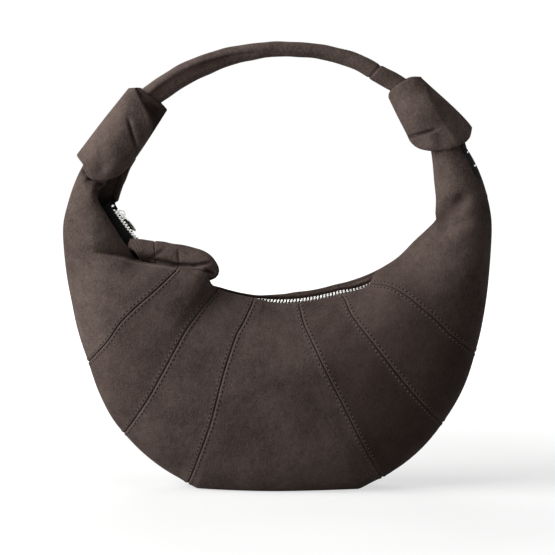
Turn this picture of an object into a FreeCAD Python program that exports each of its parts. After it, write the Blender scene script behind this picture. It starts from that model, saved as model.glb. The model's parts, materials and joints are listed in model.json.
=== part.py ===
import FreeCAD, Part
import math
import os
import Sketcher

# Half moon bag of soft leather. Millimetres, Z up, the front faces -Y, and
# the bag stands on Z = 0. The mouth is an arc about one centre, so the zip,
# its teeth and its slider all turn about that centre.

doc = FreeCAD.newDocument("half_moon_bag")
sheet = doc.addObject("Spreadsheet::Sheet", "Sizes")

driving_sizes = (
    ("outline_half_width", 210.0, "half the width of the crescent"),
    ("outline_centre_height", 249.0, "height of the crescent's widest line"),
    ("outline_drop", 263.5, "lower half of the outline before the base flattens it"),
    ("outline_rise", 175.0, "upper half of the outline, followed by the horns"),
    ("zip_centre_offset", 2.5, "arc centre of the mouth, sideways"),
    ("mouth_rise", 125.0, "arc centre of the mouth, above the crescent's widest line"),
    ("mouth_half_gap", 6.0, "half the gap between the two lips"),
    ("horn_half_gap", 1.0, "half the gap between the lips at a knot"),
    ("belly_depth", 55.0, "half the depth of the bag at its fullest"),
    ("edge_half_depth", 4.0, "half the depth of the rounded outer edge"),
    ("base_half_depth", 29.0, "half the depth of the flat base"),
    ("base_skim", 0.6, "leather pressed away where the base meets the floor"),
    ("leather_thickness", 2.0, "panel leather"),
    ("lining_thickness", 0.8, "lining cloth"),
    ("front_lip_drop", 2.0, "front lip below the zip tape"),
    ("back_lip_rise", 8.0, "back lip above the zip tape"),
    ("fold_rise", 26.0, "folded stretch of the front lip above the zip"),
    ("left_horn_inset", 18.0, "left horn's inner edge inside the zip arc"),
    ("right_horn_inset", 42.0, "right horn's inner edge inside the zip arc"),
    ("tape_thickness", 0.8, "zip tape"),
    ("tape_inner_edge", 2.0, "zip tape's edge from the middle plane"),
    ("tooth_reach", 0.85, "tooth head from the middle plane"),
    ("tooth_height", 2.6, "tooth across the tape"),
    ("tooth_length", 1.7, "tooth along the tape"),
    ("bead_height", 1.2, "bead that carries a row of teeth"),
    ("stop_length", 2.2, "zip end stops, along the tape"),
    ("slider_length", 12.0, "slider along the zip"),
    ("slider_width", 9.5, "slider across the zip"),
    ("slider_plate", 1.2, "slider plate thickness"),
    ("slider_clearance", 0.45, "plate to tooth"),
    ("slider_corner", 1.5, "rounded corners of the slider plates"),
    ("post_width", 1.0, "post between the plates, across the zip"),
    ("post_length", 3.0, "post between the plates, along the zip"),
    ("bridge_length", 8.4, "bridge along the slider"),
    ("bridge_width", 2.0, "bridge across the slider"),
    ("bridge_height", 3.7, "bridge above the upper plate"),
    ("bridge_wall", 1.5, "wall of the bridge"),
    ("bridge_chamfer", 1.2, "sloped shoulders of the bridge"),
    ("bar_radius", 0.6, "cross bar of the pull"),
    ("bar_height", 1.25, "cross bar's centre above the upper plate"),
    ("pull_arm_gap", 0.5, "bridge to the arms of the pull"),
    ("pull_arm", 1.2, "width of each arm of the pull"),
    ("pull_window", 4.9, "cross bar to the solid end of the pull"),
    ("pull_length", 22.0, "cross bar to the tip of the pull"),
    ("pull_thickness", 1.2, "pull tab"),
    ("pull_corner", 2.0, "rounded tip of the pull"),
    ("tail_thickness", 1.2, "end of the zip laid over the right horn"),
    ("tail_stop_height", 1.6, "metal end on the laid-over tape"),
    ("left_knot_length", 75.0, "left knot along its axis"),
    ("left_knot_depth", 42.0, "left knot front to back at the horn"),
    ("left_knot_top_width", 43.0, "left knot at the handle"),
    ("left_knot_top_depth", 34.0, "left knot front to back at the handle"),
    ("left_knot_lean", 1.5, "left knot's top, sideways from its axis"),
    ("right_knot_length", 63.0, "right knot along its axis"),
    ("right_knot_depth", 44.0, "right knot front to back at the horn"),
    ("right_knot_top_width", 30.0, "right knot at the handle"),
    ("right_knot_top_depth", 28.0, "right knot front to back at the handle"),
    ("right_knot_lean", 29.3, "right knot's top, sideways from its axis"),
    ("knot_overlap", 2.5, "knot wider than the horn, on each side"),
    ("handle_radius", 193.5, "arc of the handle's centre line"),
    ("handle_left_radius", 10.5, "rolled handle at its left end"),
    ("handle_middle_radius", 7.2, "rolled handle at its top"),
    ("handle_right_radius", 7.8, "rolled handle at its right end"),
    ("handle_leather", 1.6, "leather rolled round the handle's core"),
    ("handle_clearance", 0.4, "handle end to knot"),
)
mouth_share = 0.9095
for row, (alias, value, note) in enumerate(driving_sizes, start=1):
    sheet.set("A%d" % row, note)
    sheet.set("B%d" % row, str(value))
    sheet.setAlias("B%d" % row, alias)
derived_sizes = (
    ("zip_radius", "=outline_half_width * %s" % mouth_share, "radius of the zip at its tape"),
    ("zip_centre_height", "=outline_centre_height + mouth_rise", "arc centre, above the floor"),
)
for alias, formula, note in derived_sizes:
    row += 1
    sheet.set("A%d" % row, note)
    sheet.set("B%d" % row, formula)
    sheet.setAlias("B%d" % row, alias)
doc.recompute()


def size(alias):
    return float(getattr(sheet, alias))


# Angles about the arc centre of the mouth, in degrees from straight down,
# left of it negative.
zip_start_angle = -61.0
zip_end_angle = 57.0
teeth_start_angle = -58.2
teeth_end_angle = 53.0
top_stop_angle = -59.6
bottom_stop_angle = 54.2
slider_angle = -56.2
teeth_count = 113

# The six seams of the front, and the two horn ends, by the same angle.
panel_edges = (-64.4, -36.0, -19.5, -8.5, 7.0, 19.0, 31.0, 71.9)

# Where the sections between two panel edges stand, by the same angle.
inner_angles = (
    (-61.0, -58.5, -56.0, -51.0, -46.0, -41.0),
    (-32.0, -27.5, -24.0, -21.5),
    (-14.0,),
    (-6.6, -3.5, 0.0, 2.6, 4.9),
    (13.0,),
    (25.0,),
    (35.5, 40.0, 44.5, 49.0, 55.0, 58.5, 62.0, 67.0),
)

# Each row is a mouth angle and the outline angle that it is sewn to.
outline_angles = (
    (-64.4, -111.0), (-61.0, -102.0), (-56.0, -91.0), (-46.0, -73.0),
    (-36.0, -56.2), (-19.5, -38.2), (-8.5, -20.4), (-6.6, -16.0),
    (0.0, 0.0), (4.9, 16.0), (7.0, 24.2), (19.0, 42.0), (31.0, 58.8),
    (40.0, 70.0), (49.0, 81.0), (55.0, 91.0), (62.0, 102.0), (71.9, 114.9),
)

# Shares of the sizes named in each function below, by mouth angle.
belly_shares = (
    (-64.4, 0.36), (-61.0, 0.46), (-56.0, 0.58), (-46.0, 0.74),
    (-36.0, 0.86), (-19.5, 0.96), (-8.5, 1.0), (7.0, 1.0), (19.0, 0.96),
    (31.0, 0.86), (40.0, 0.76), (49.0, 0.66), (55.0, 0.58), (62.0, 0.48),
    (71.9, 0.38),
)
left_inset_shares = ((-64.4, 1.0), (-61.0, 0.1), (-58.0, 0.0))
right_inset_shares = ((55.0, 0.0), (62.0, 0.45), (71.9, 1.0))
fold_shares = (
    (-51.0, 0.0), (-46.0, 0.15), (-41.0, 0.5), (-36.0, 0.82), (-32.0, 1.0),
    (-27.5, 1.0), (-24.0, 0.93), (-21.5, 0.7), (-19.5, 0.0),
)
lip_cover_shares = ((25.0, 0.0), (31.0, 1.5), (49.0, 1.5), (55.0, 1.0))
back_rise_shares = (
    (-61.0, 0.0), (-51.0, 0.4), (-36.0, 1.0), (31.0, 1.0), (49.0, 0.6),
    (55.0, 0.0),
)
base_shares = (
    (-8.5, 0.0), (-6.6, 0.55), (-3.5, 0.9), (0.0, 1.0), (2.6, 0.9), (4.9, 0.55),
    (7.0, 0.0),
)
closing_shares = ((-64.4, 1.0), (-61.0, 0.0), (57.5, 0.0), (71.9, 1.0))

# Shape of a section, as shares of the stretch that each one belongs to.
belly_place_share = 0.52
lip_slant_share = 0.22
lip_swell_share = 0.62
belly_round_share = 0.42
quarter_round_share = 0.55
lip_face_share = 1.25
drop_power = 2.2
rise_power = 2.0


def along(rows, angle):
    if angle <= rows[0][0]:
        return rows[0][1]
    for (left, low), (right, high) in zip(rows, rows[1:]):
        if angle <= right:
            return low + (high - low) * (angle - left) / (right - left)
    return rows[-1][1]


across = FreeCAD.Vector(0, 1, 0)
zip_centre = FreeCAD.Vector(size("zip_centre_offset"), 0, size("zip_centre_height"))


def mouth_point(angle):
    inset = along(left_inset_shares, angle) * size("left_horn_inset")
    inset += along(right_inset_shares, angle) * size("right_horn_inset")
    turn = math.radians(angle)
    reach = size("zip_radius") - inset
    return zip_centre + FreeCAD.Vector(math.sin(turn), 0, -math.cos(turn)) * reach


def outline_point(angle):
    turn = math.radians(along(outline_angles, angle))
    sideways = math.sin(turn)
    downward = math.cos(turn)
    height = size("outline_drop") if downward > 0 else size("outline_rise")
    power = drop_power if downward > 0 else rise_power
    wide_part = (abs(sideways) / size("outline_half_width")) ** power
    high_part = (abs(downward) / height) ** power
    reach = (wide_part + high_part) ** (-1.0 / power)
    lowest = size("outline_centre_height") + size("base_skim")
    if reach * downward > lowest:
        reach = lowest / downward
    drop = FreeCAD.Vector(sideways, 0, -downward) * reach
    return FreeCAD.Vector(0, 0, size("outline_centre_height")) + drop


class Station:
    """One section of the bag, in the plane of its mouth and outline points."""

    def __init__(self, angle):
        self.start = mouth_point(angle)
        end = outline_point(angle)
        self.reach = (end - self.start).Length
        self.way = (end - self.start).normalize()
        self.depth = along(belly_shares, angle) * size("belly_depth")
        flat = size("base_half_depth") - size("edge_half_depth")
        self.edge = size("edge_half_depth") + flat * along(base_shares, angle)
        gap = size("horn_half_gap") - size("mouth_half_gap")
        self.gap = size("mouth_half_gap") + gap * along(closing_shares, angle)
        open_share = 1.0 - along(closing_shares, angle)
        cover = along(fold_shares, angle) * size("fold_rise")
        cover += along(lip_cover_shares, angle) * size("front_lip_drop")
        self.front_rise = (cover - size("front_lip_drop")) * open_share
        self.back_rise = along(back_rise_shares, angle) * size("back_lip_rise")

    def point(self, side, length, depth):
        return self.start + self.way * length + across * (side * depth)

    def chain(self, side, inset):
        """Lip to belly to outer edge, a given depth inside the outer face."""
        rise = self.front_rise if side < 0 else self.back_rise
        lip = lip_face_share * inset - rise
        belly = self.reach * belly_place_share
        depth = self.depth - inset
        end = self.reach - inset
        run = belly - lip
        swell = depth - self.gap
        tail = end - belly
        round_off = depth - self.edge
        upper = (
            (lip, self.gap),
            (lip + run * lip_slant_share, self.gap + swell * lip_swell_share),
            (belly - run * belly_round_share, depth),
            (belly, depth),
        )
        lower = (
            (belly, depth),
            (belly + tail * quarter_round_share, depth),
            (end, self.edge + round_off * quarter_round_share),
            (end, self.edge),
        )
        return [
            [self.point(side, *pair) for pair in upper],
            [self.point(side, *pair) for pair in lower],
            [self.point(side, end, self.edge), self.point(side, end, 0)],
        ]


def curve(points):
    if len(points) == 2:
        return Part.LineSegment(points[0], points[1]).toShape()
    bezier = Part.BezierCurve()
    bezier.setPoles(points)
    return bezier.toShape()


def shell_wire(station, side, outer_inset, inner_inset):
    outer = station.chain(side, outer_inset)
    inner = station.chain(side, inner_inset)
    back = [list(reversed(points)) for points in reversed(inner)]
    edge_end = [outer[-1][-1], back[0][0]]
    lip_end = [back[-1][-1], outer[0][0]]
    return Part.Wire([curve(points) for points in outer + [edge_end] + back + [lip_end]])


def shell(angles, side, outer_inset, inner_inset):
    wires = [shell_wire(Station(a), side, outer_inset, inner_inset) for a in angles]
    return Part.makeLoft(wires, True, True)


def feature(name, shape):
    made = doc.addObject("Part::Feature", name)
    made.Label = name
    made.Shape = shape
    made.Placement = FreeCAD.Placement()
    return made


nodes = []

# Leather panels: seven wedges in front and seven behind, sewn edge to edge.
panel_angles = []
for first, between, last in zip(panel_edges, inner_angles, panel_edges[1:]):
    panel_angles.append((first,) + between + (last,))

floor = doc.addObject("Part::Box", "floor")
floor.setExpression("Length", "4 * Sizes.outline_half_width")
floor.setExpression("Width", "4 * Sizes.outline_half_width")
floor.setExpression("Height", "Sizes.belly_depth")
floor.setExpression("Placement.Base.x", "-2 * Sizes.outline_half_width")
floor.setExpression("Placement.Base.y", "-2 * Sizes.outline_half_width")
floor.setExpression("Placement.Base.z", "-Sizes.belly_depth")
doc.recompute()

leather = size("leather_thickness")
for title, side in (("front", -1), ("back", 1)):
    for number, angles in enumerate(panel_angles, start=1):
        name = "%s_panel_%d" % (title, number)
        panel = shell(angles, side, 0, leather)
        if panel.BoundBox.ZMin >= 0:
            nodes.append(feature(name, panel))
            continue
        whole = feature("whole_" + name, panel)
        cut = doc.addObject("Part::Cut", name)
        cut.Label = name
        cut.Base = whole
        cut.Tool = floor
        nodes.append(cut)

# Lining: one cloth behind the front leather and one behind the back leather.
lined_angles = []
for angles in panel_angles:
    lined_angles.extend(a for a in angles if a not in lined_angles)
lined_angles = lined_angles[1:-1]
lining = leather + size("lining_thickness")
for title, side in (("front", -1), ("back", 1)):
    nodes.append(feature("lining_" + title, shell(lined_angles, side, leather, lining)))


def plane(body, role):
    for item in body.Origin.OriginFeatures:
        if item.Role == role:
            return item
    raise ValueError(role)


def new_body(name):
    body = doc.addObject("PartDesign::Body", name)
    body.Label = name
    nodes.append(body)
    return body


def new_sketch(body, name, role):
    sketch = body.newObject("Sketcher::SketchObject", body.Name + "_" + name)
    sketch.AttachmentSupport = [(plane(body, role), "")]
    sketch.MapMode = "FlatFace"
    return sketch


def measure(sketch, kind, first, second, expression):
    place = sketch.addConstraint(Sketcher.Constraint(kind, *first, *second, 0.0))
    if expression != "0":
        sketch.setExpression("Constraints[%d]" % place, expression)


def polygon(sketch, corners):
    """A closed outline whose corners are pairs of expressions."""
    count = len(corners)
    rough = []
    for number in range(count):
        turn = 2 * math.pi * number / count
        rough.append(FreeCAD.Vector(math.cos(turn), math.sin(turn), 0))
    for number in range(count):
        line = Part.LineSegment(rough[number], rough[(number + 1) % count])
        sketch.addGeometry(line)
    for number in range(count):
        joined = Sketcher.Constraint("Coincident", number, 2, (number + 1) % count, 1)
        sketch.addConstraint(joined)
    for number, (sideways, upward) in enumerate(corners):
        measure(sketch, "DistanceX", (-1, 1), (number, 1), sideways)
        measure(sketch, "DistanceY", (-1, 1), (number, 1), upward)


def rectangle(sketch, left, right, low, high):
    polygon(sketch, ((left, low), (right, low), (right, high), (left, high)))


def circle(sketch, sideways, upward, radius):
    round_line = Part.Circle(FreeCAD.Vector(1, 1, 0), FreeCAD.Vector(0, 0, 1), 1)
    number = sketch.addGeometry(round_line)
    measure(sketch, "DistanceX", (-1, 1), (number, 3), sideways)
    measure(sketch, "DistanceY", (-1, 1), (number, 3), upward)
    place = sketch.addConstraint(Sketcher.Constraint("Radius", number, 1.0))
    sketch.setExpression("Constraints[%d]" % place, radius)


def ellipse(sketch, sideways, half_width, half_depth):
    """An ellipse about a point on the sketch's first axis."""
    normal = FreeCAD.Vector(0, 0, 1)
    wide = half_width >= half_depth
    longer = max(half_width, half_depth)
    shorter = min(half_width, half_depth)
    middle = FreeCAD.Vector(sideways, 0, 0)
    shape = Part.Ellipse(middle, longer, shorter)
    if not wide:
        shape.rotate(FreeCAD.Placement(middle, FreeCAD.Rotation(normal, 90), middle))
    sketch.addGeometry(shape)


def pad(body, sketch, name, length, both_ways=False):
    made = body.newObject("PartDesign::Pad", body.Name + "_" + name)
    made.Profile = sketch
    made.setExpression("Length", length)
    made.Midplane = both_ways
    doc.recompute()
    return made


def turned(angle):
    return FreeCAD.Rotation(across, -angle)


def at_zip(angle):
    """A place on the zip: X along it, Z towards the arc centre."""
    turn = math.radians(angle)
    reach = FreeCAD.Vector(math.sin(turn), 0, -math.cos(turn)) * size("zip_radius")
    return FreeCAD.Placement(zip_centre + reach, turned(angle))


def revolve(body, sketch, name, span):
    made = body.newObject("PartDesign::Revolution", body.Name + "_" + name)
    made.Profile = sketch
    made.ReferenceAxis = (sketch, ["H_Axis"])
    made.Angle = span
    made.Reversed = True
    doc.recompute()
    return made


# Zip tapes: flat beside the teeth, bent along the lip that each is sewn to.
for title, sign, sewn in (
    ("front", "-", "-Sizes.zip_radius - Sizes.front_lip_drop - Sizes.leather_thickness"),
    ("back", "", "-Sizes.zip_radius + Sizes.back_lip_rise"),
):
    body = new_body("zip_tape_" + title)
    section = new_sketch(body, "section", "YZ_Plane")
    near = sign + "Sizes.tape_inner_edge"
    far = sign + "Sizes.mouth_half_gap"
    bend = sign + "(Sizes.mouth_half_gap - Sizes.tape_thickness)"
    level = "-Sizes.zip_radius + Sizes.tape_thickness / 2"
    under = "-Sizes.zip_radius - Sizes.tape_thickness / 2"
    if title == "front":
        corners = ((near, level), (far, level), (far, sewn), (bend, sewn),
                   (bend, under), (near, under))
    else:
        corners = ((near, under), (far, under), (far, sewn), (bend, sewn),
                   (bend, level), (near, level))
    polygon(section, corners)
    doc.recompute()
    revolve(body, section, "strip", zip_end_angle - zip_start_angle)
    body.Placement = FreeCAD.Placement(zip_centre, turned(zip_start_angle))

# Two rows of teeth, each on a bead along the edge of its tape.
for title, sign in (("front", "-"), ("back", "")):
    body = new_body("zip_teeth_" + title)
    section = new_sketch(body, "section", "YZ_Plane")
    head = sign + "(Sizes.tooth_reach + Sizes.tape_inner_edge) / 2"
    root = sign + "Sizes.tape_inner_edge"
    rectangle(section, head, root, "-Sizes.zip_radius - Sizes.bead_height / 2",
              "-Sizes.zip_radius + Sizes.bead_height / 2")
    doc.recompute()
    revolve(body, section, "bead", teeth_end_angle - teeth_start_angle)
    outline = new_sketch(body, "tooth", "XZ_Plane")
    rectangle(outline, "-Sizes.tooth_length / 2", "Sizes.tooth_length / 2",
              "-Sizes.zip_radius - Sizes.tooth_height / 2",
              "-Sizes.zip_radius + Sizes.tooth_height / 2")
    if title == "front":
        outline.setExpression("AttachmentOffset.Base.z", "Sizes.tooth_reach")
    else:
        outline.setExpression("AttachmentOffset.Base.z", "-Sizes.tape_inner_edge")
    doc.recompute()
    tooth = pad(body, outline, "first", "Sizes.tape_inner_edge - Sizes.tooth_reach")
    row = body.newObject("PartDesign::PolarPattern", body.Name + "_row")
    row.Originals = [tooth]
    row.Axis = (plane(body, "Y_Axis"), [""])
    row.Reversed = True
    row.Mode = "Extent"
    row.Angle = teeth_end_angle - teeth_start_angle
    row.Occurrences = teeth_count
    body.Tip = row
    doc.recompute()
    body.Placement = FreeCAD.Placement(zip_centre, turned(teeth_start_angle))

# End stops of the zip, clamped on the edges of the tapes.
body = new_body("zip_bottom_stop")
section = new_sketch(body, "section", "XY_Plane")
rectangle(section, "-Sizes.stop_length / 2", "Sizes.stop_length / 2",
          "-Sizes.tape_inner_edge", "Sizes.tape_inner_edge")
doc.recompute()
pad(body, section, "block", "Sizes.tooth_height", True)
body.Placement = at_zip(bottom_stop_angle)

for title, low, high in (
    ("front", "-Sizes.tape_inner_edge", "-Sizes.tooth_reach"),
    ("back", "Sizes.tooth_reach", "Sizes.tape_inner_edge"),
):
    body = new_body("zip_top_stop_" + title)
    section = new_sketch(body, "section", "XY_Plane")
    rectangle(section, "-Sizes.stop_length / 2", "Sizes.stop_length / 2", low, high)
    doc.recompute()
    pad(body, section, "block", "Sizes.tooth_height", True)
    body.Placement = at_zip(top_stop_angle)

# Slider: two plates over and under the teeth, joined by a post between them.
slider_place = at_zip(slider_angle)
plate_level = "(Sizes.tooth_height / 2 + Sizes.slider_clearance)"
plate_top = "(Sizes.tooth_height / 2 + Sizes.slider_clearance + Sizes.slider_plate)"
body = new_body("zip_slider")
slider_steps = (
    ("lower", "Sizes.slider_length", "Sizes.slider_width",
     "-" + plate_top, "Sizes.slider_plate"),
    ("post", "Sizes.post_length", "Sizes.post_width",
     "-" + plate_level, "2 * " + plate_level),
    ("upper", "Sizes.slider_length", "Sizes.slider_width",
     plate_level, "Sizes.slider_plate"),
)
for title, long_side, wide_side, level, height in slider_steps:
    section = new_sketch(body, title + "_outline", "XY_Plane")
    rectangle(section, "-%s / 2" % long_side, "%s / 2" % long_side,
              "-%s / 2" % wide_side, "%s / 2" % wide_side)
    section.setExpression("AttachmentOffset.Base.z", level)
    doc.recompute()
    step = pad(body, section, title, height)
corners = []
for number, edge in enumerate(step.Shape.Edges, start=1):
    ends = [vertex.Point for vertex in edge.Vertexes]
    upright = abs(abs(ends[0].z - ends[1].z) - size("slider_plate")) < edge.Length / 1000
    at_corner = abs(abs(ends[0].y) - size("slider_width") / 2) < edge.Length / 1000
    if upright and at_corner:
        corners.append("Edge%d" % number)
rounded = body.newObject("PartDesign::Fillet", "zip_slider_corners")
rounded.Base = (step, corners)
rounded.setExpression("Radius", "Sizes.slider_corner")
doc.recompute()
body.Placement = slider_place

# Bridge on the slider's upper plate, an arch that the pull's bar runs under.
body = new_body("zip_slider_bridge")
section = new_sketch(body, "arch", "XZ_Plane")
outer = "Sizes.bridge_length / 2"
inner = "(Sizes.bridge_length / 2 - Sizes.bridge_wall)"
shoulder = "(Sizes.bridge_length / 2 - Sizes.bridge_chamfer)"
crown = "%s + Sizes.bridge_height" % plate_top
crown_inside = "%s + Sizes.bridge_height - Sizes.bridge_wall" % plate_top
slope = "%s + Sizes.bridge_height - Sizes.bridge_chamfer" % plate_top
polygon(section, (
    ("-" + outer, plate_top), ("-" + outer, slope), ("-" + shoulder, crown),
    (shoulder, crown), (outer, slope), (outer, plate_top), (inner, plate_top),
    (inner, crown_inside), ("-" + inner, crown_inside), ("-" + inner, plate_top),
))
doc.recompute()
pad(body, section, "band", "Sizes.bridge_width", True)
body.Placement = slider_place

# Pull: a plain metal tab that swings on its bar under the bridge.
pull_half_width = "(Sizes.bridge_width / 2 + Sizes.pull_arm_gap + Sizes.pull_arm)"
window_half_width = "(Sizes.bridge_width / 2 + Sizes.pull_arm_gap)"
bar_level = "%s + Sizes.bar_height" % plate_top
body = new_body("zip_pull")
section = new_sketch(body, "bar", "XZ_Plane")
circle(section, "0", bar_level, "Sizes.bar_radius")
doc.recompute()
pad(body, section, "cross_bar", "2 * " + pull_half_width, True)
section = new_sketch(body, "tab", "XY_Plane")
polygon(section, (
    ("0", "-" + pull_half_width),
    ("Sizes.pull_length - Sizes.pull_corner", "-" + pull_half_width),
    ("Sizes.pull_length", "Sizes.pull_corner - " + pull_half_width),
    ("Sizes.pull_length", pull_half_width + " - Sizes.pull_corner"),
    ("Sizes.pull_length - Sizes.pull_corner", pull_half_width),
    ("0", pull_half_width),
    ("0", window_half_width),
    ("Sizes.pull_window", window_half_width),
    ("Sizes.pull_window", "-" + window_half_width),
    ("0", "-" + window_half_width),
))
section.setExpression("AttachmentOffset.Base.z", bar_level)
doc.recompute()
pad(body, section, "tongue", "Sizes.pull_thickness", True)
body.Placement = slider_place

# End of the zip, laid over the outer edge of the right horn, with its metal.
tail_angles = (62.0, 67.0, 71.9)
tail_wires = []
for angle in tail_angles:
    station = Station(angle)
    low = station.reach
    high = station.reach + size("tail_thickness")
    wide = station.edge
    ring = [station.point(1, low, -wide), station.point(1, low, wide),
            station.point(1, high, wide), station.point(1, high, -wide)]
    tail_wires.append(Part.makePolygon(ring + ring[:1]))
nodes.append(feature("zip_tail", Part.makeLoft(tail_wires, True, True)))

stop_shares = (0.35, 0.75)
stop_ends = []
for angle in tail_angles[1:]:
    station = Station(angle)
    stop_ends.append(station.point(1, station.reach + size("tail_thickness"), 0))
stop_way = (stop_ends[0] - stop_ends[1]).normalize()
stop_blocks = []
for share in stop_shares:
    place = stop_ends[0] + (stop_ends[1] - stop_ends[0]) * share
    block = Part.makeBox(size("stop_length"), 2 * size("edge_half_depth"),
                         size("tail_stop_height"))
    block.translate(FreeCAD.Vector(0, -size("edge_half_depth"), 0))
    lean = math.degrees(math.atan2(-stop_way.z, stop_way.x))
    block.Placement = FreeCAD.Placement(
        place, FreeCAD.Rotation(across, lean)).multiply(block.Placement)
    stop_blocks.append(block)
nodes.append(feature("zip_tail_stops", Part.Compound(stop_blocks)))

# Knots: leather wrapped round each horn's end and the end of the handle.
knot_tops = []
for title, angle, mirrored in (("left", panel_edges[0], False),
                               ("right", panel_edges[-1], True)):
    station = Station(angle)
    far = station.start + station.way * station.reach
    middle = (station.start + far) * 0.5
    outward = station.way if mirrored else station.way * -1
    lean = math.degrees(math.atan2(-outward.z, outward.x))
    body = new_body(title + "_knot")
    bottom = new_sketch(body, "bottom", "XY_Plane")
    ellipse(bottom, 0, station.reach / 2 + size("knot_overlap"),
            size(title + "_knot_depth") / 2)
    top = new_sketch(body, "top", "XY_Plane")
    shift = -size(title + "_knot_lean") if mirrored else size(title + "_knot_lean")
    ellipse(top, shift, size(title + "_knot_top_width") / 2,
            size(title + "_knot_top_depth") / 2)
    top.setExpression("AttachmentOffset.Base.z", "Sizes.%s_knot_length" % title)
    doc.recompute()
    wrap = body.newObject("PartDesign::AdditiveLoft", body.Name + "_wrap")
    wrap.Profile = bottom
    wrap.Sections = [top]
    wrap.Ruled = True
    doc.recompute()
    body.Placement = FreeCAD.Placement(middle, FreeCAD.Rotation(across, lean))
    lift = size("handle_%s_radius" % title) + size("handle_clearance")
    seat = FreeCAD.Vector(shift, 0, size(title + "_knot_length") + lift)
    knot_tops.append(body.Placement.multVec(seat))

# Handle: an arc between the two knots, rolled leather round a soft core.
left_end, right_end = knot_tops
chord = right_end - left_end
half_chord = chord.Length / 2
drop = math.sqrt(size("handle_radius") ** 2 - half_chord ** 2)
upward = FreeCAD.Vector(-chord.z, 0, chord.x).normalize()
handle_centre = left_end + chord * 0.5 - upward * drop
handle_span = 2 * math.degrees(math.asin(half_chord / size("handle_radius")))
to_right = right_end - handle_centre
handle_start = math.degrees(math.atan2(to_right.z, to_right.x))
handle_place = FreeCAD.Placement(handle_centre, FreeCAD.Rotation(across, -handle_start))


def rolled(body, kind, name, thinner, begin, finish):
    """A round bar along the handle's arc, thickest at its left end."""
    profiles = []
    radii = ("right", "middle", "left")
    for step, radius in enumerate(radii):
        angle = begin + (finish - begin) * step / 2
        section = new_sketch(body, name + "_" + radius, "XY_Plane")
        circle(section, "Sizes.handle_radius", "0",
               "Sizes.handle_%s_radius%s" % (radius, thinner))
        section.AttachmentOffset = FreeCAD.Placement(
            FreeCAD.Vector(0, 0, 0), FreeCAD.Rotation(across, -angle))
        profiles.append(section)
    line = new_sketch(body, name + "_line", "XZ_Plane")
    arc = Part.ArcOfCircle(
        Part.Circle(FreeCAD.Vector(0, 0, 0), FreeCAD.Vector(0, 0, 1),
                    size("handle_radius")),
        math.radians(begin), math.radians(finish))
    line.addGeometry(arc)
    line.addConstraint(Sketcher.Constraint("Coincident", 0, 3, -1, 1))
    place = line.addConstraint(Sketcher.Constraint("Radius", 0, size("handle_radius")))
    line.setExpression("Constraints[%d]" % place, "Sizes.handle_radius")
    doc.recompute()
    made = body.newObject(kind, body.Name + "_" + name)
    made.Profile = profiles[0]
    made.Spine = (line, ["Edge1"])
    made.Transformation = "Multisection"
    made.Sections = profiles[1:]
    doc.recompute()
    return made


core_margin = math.degrees(size("handle_leather") / size("handle_radius"))
thinner = " - Sizes.handle_leather"
sleeve = new_body("handle_sleeve")
rolled(sleeve, "PartDesign::AdditivePipe", "roll", "", 0, handle_span)
for title, angle in (("right", 0.0), ("left", handle_span)):
    ball = sleeve.newObject("PartDesign::AdditiveSphere", "handle_%s_end" % title)
    ball.setExpression("Radius", "Sizes.handle_%s_radius" % title)
    turn = FreeCAD.Rotation(across, -angle)
    reach = FreeCAD.Vector(size("handle_radius"), 0, 0)
    ball.Placement = FreeCAD.Placement(turn.multVec(reach), turn)
    doc.recompute()
rolled(sleeve, "PartDesign::SubtractivePipe", "hollow", thinner,
       core_margin, handle_span - core_margin)
sleeve.Placement = handle_place

core = new_body("handle_core")
rolled(core, "PartDesign::AdditivePipe", "filling", thinner,
       core_margin, handle_span - core_margin)
core.Placement = handle_place

doc.recompute()

for item in doc.Objects:
    if "Invalid" in item.State or "Error" in item.State:
        raise RuntimeError("%s: %s" % (item.Name, item.State))

os.makedirs("parts", exist_ok=True)
for node in nodes:
    shape = node.Shape
    if shape.isNull() or not shape.isValid() or shape.Volume <= 0:
        raise RuntimeError("bad shape: " + node.Label)
    shape.exportStep("parts/%s.step" % node.Label)
    box = shape.BoundBox
    print("%-20s %9.1f  x %7.1f %7.1f  y %6.1f %6.1f  z %6.1f %6.1f" % (
        node.Label, shape.Volume, box.XMin, box.XMax, box.YMin, box.YMax,
        box.ZMin, box.ZMax))
print("handle ends", left_end, right_end)
print("slider", slider_place.Base, "zip centre", zip_centre)
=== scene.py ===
from collections import namedtuple
from functools import partial
import json
import math

import bmesh
import bpy
import numpy as np
from mathutils import Matrix, Vector


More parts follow.
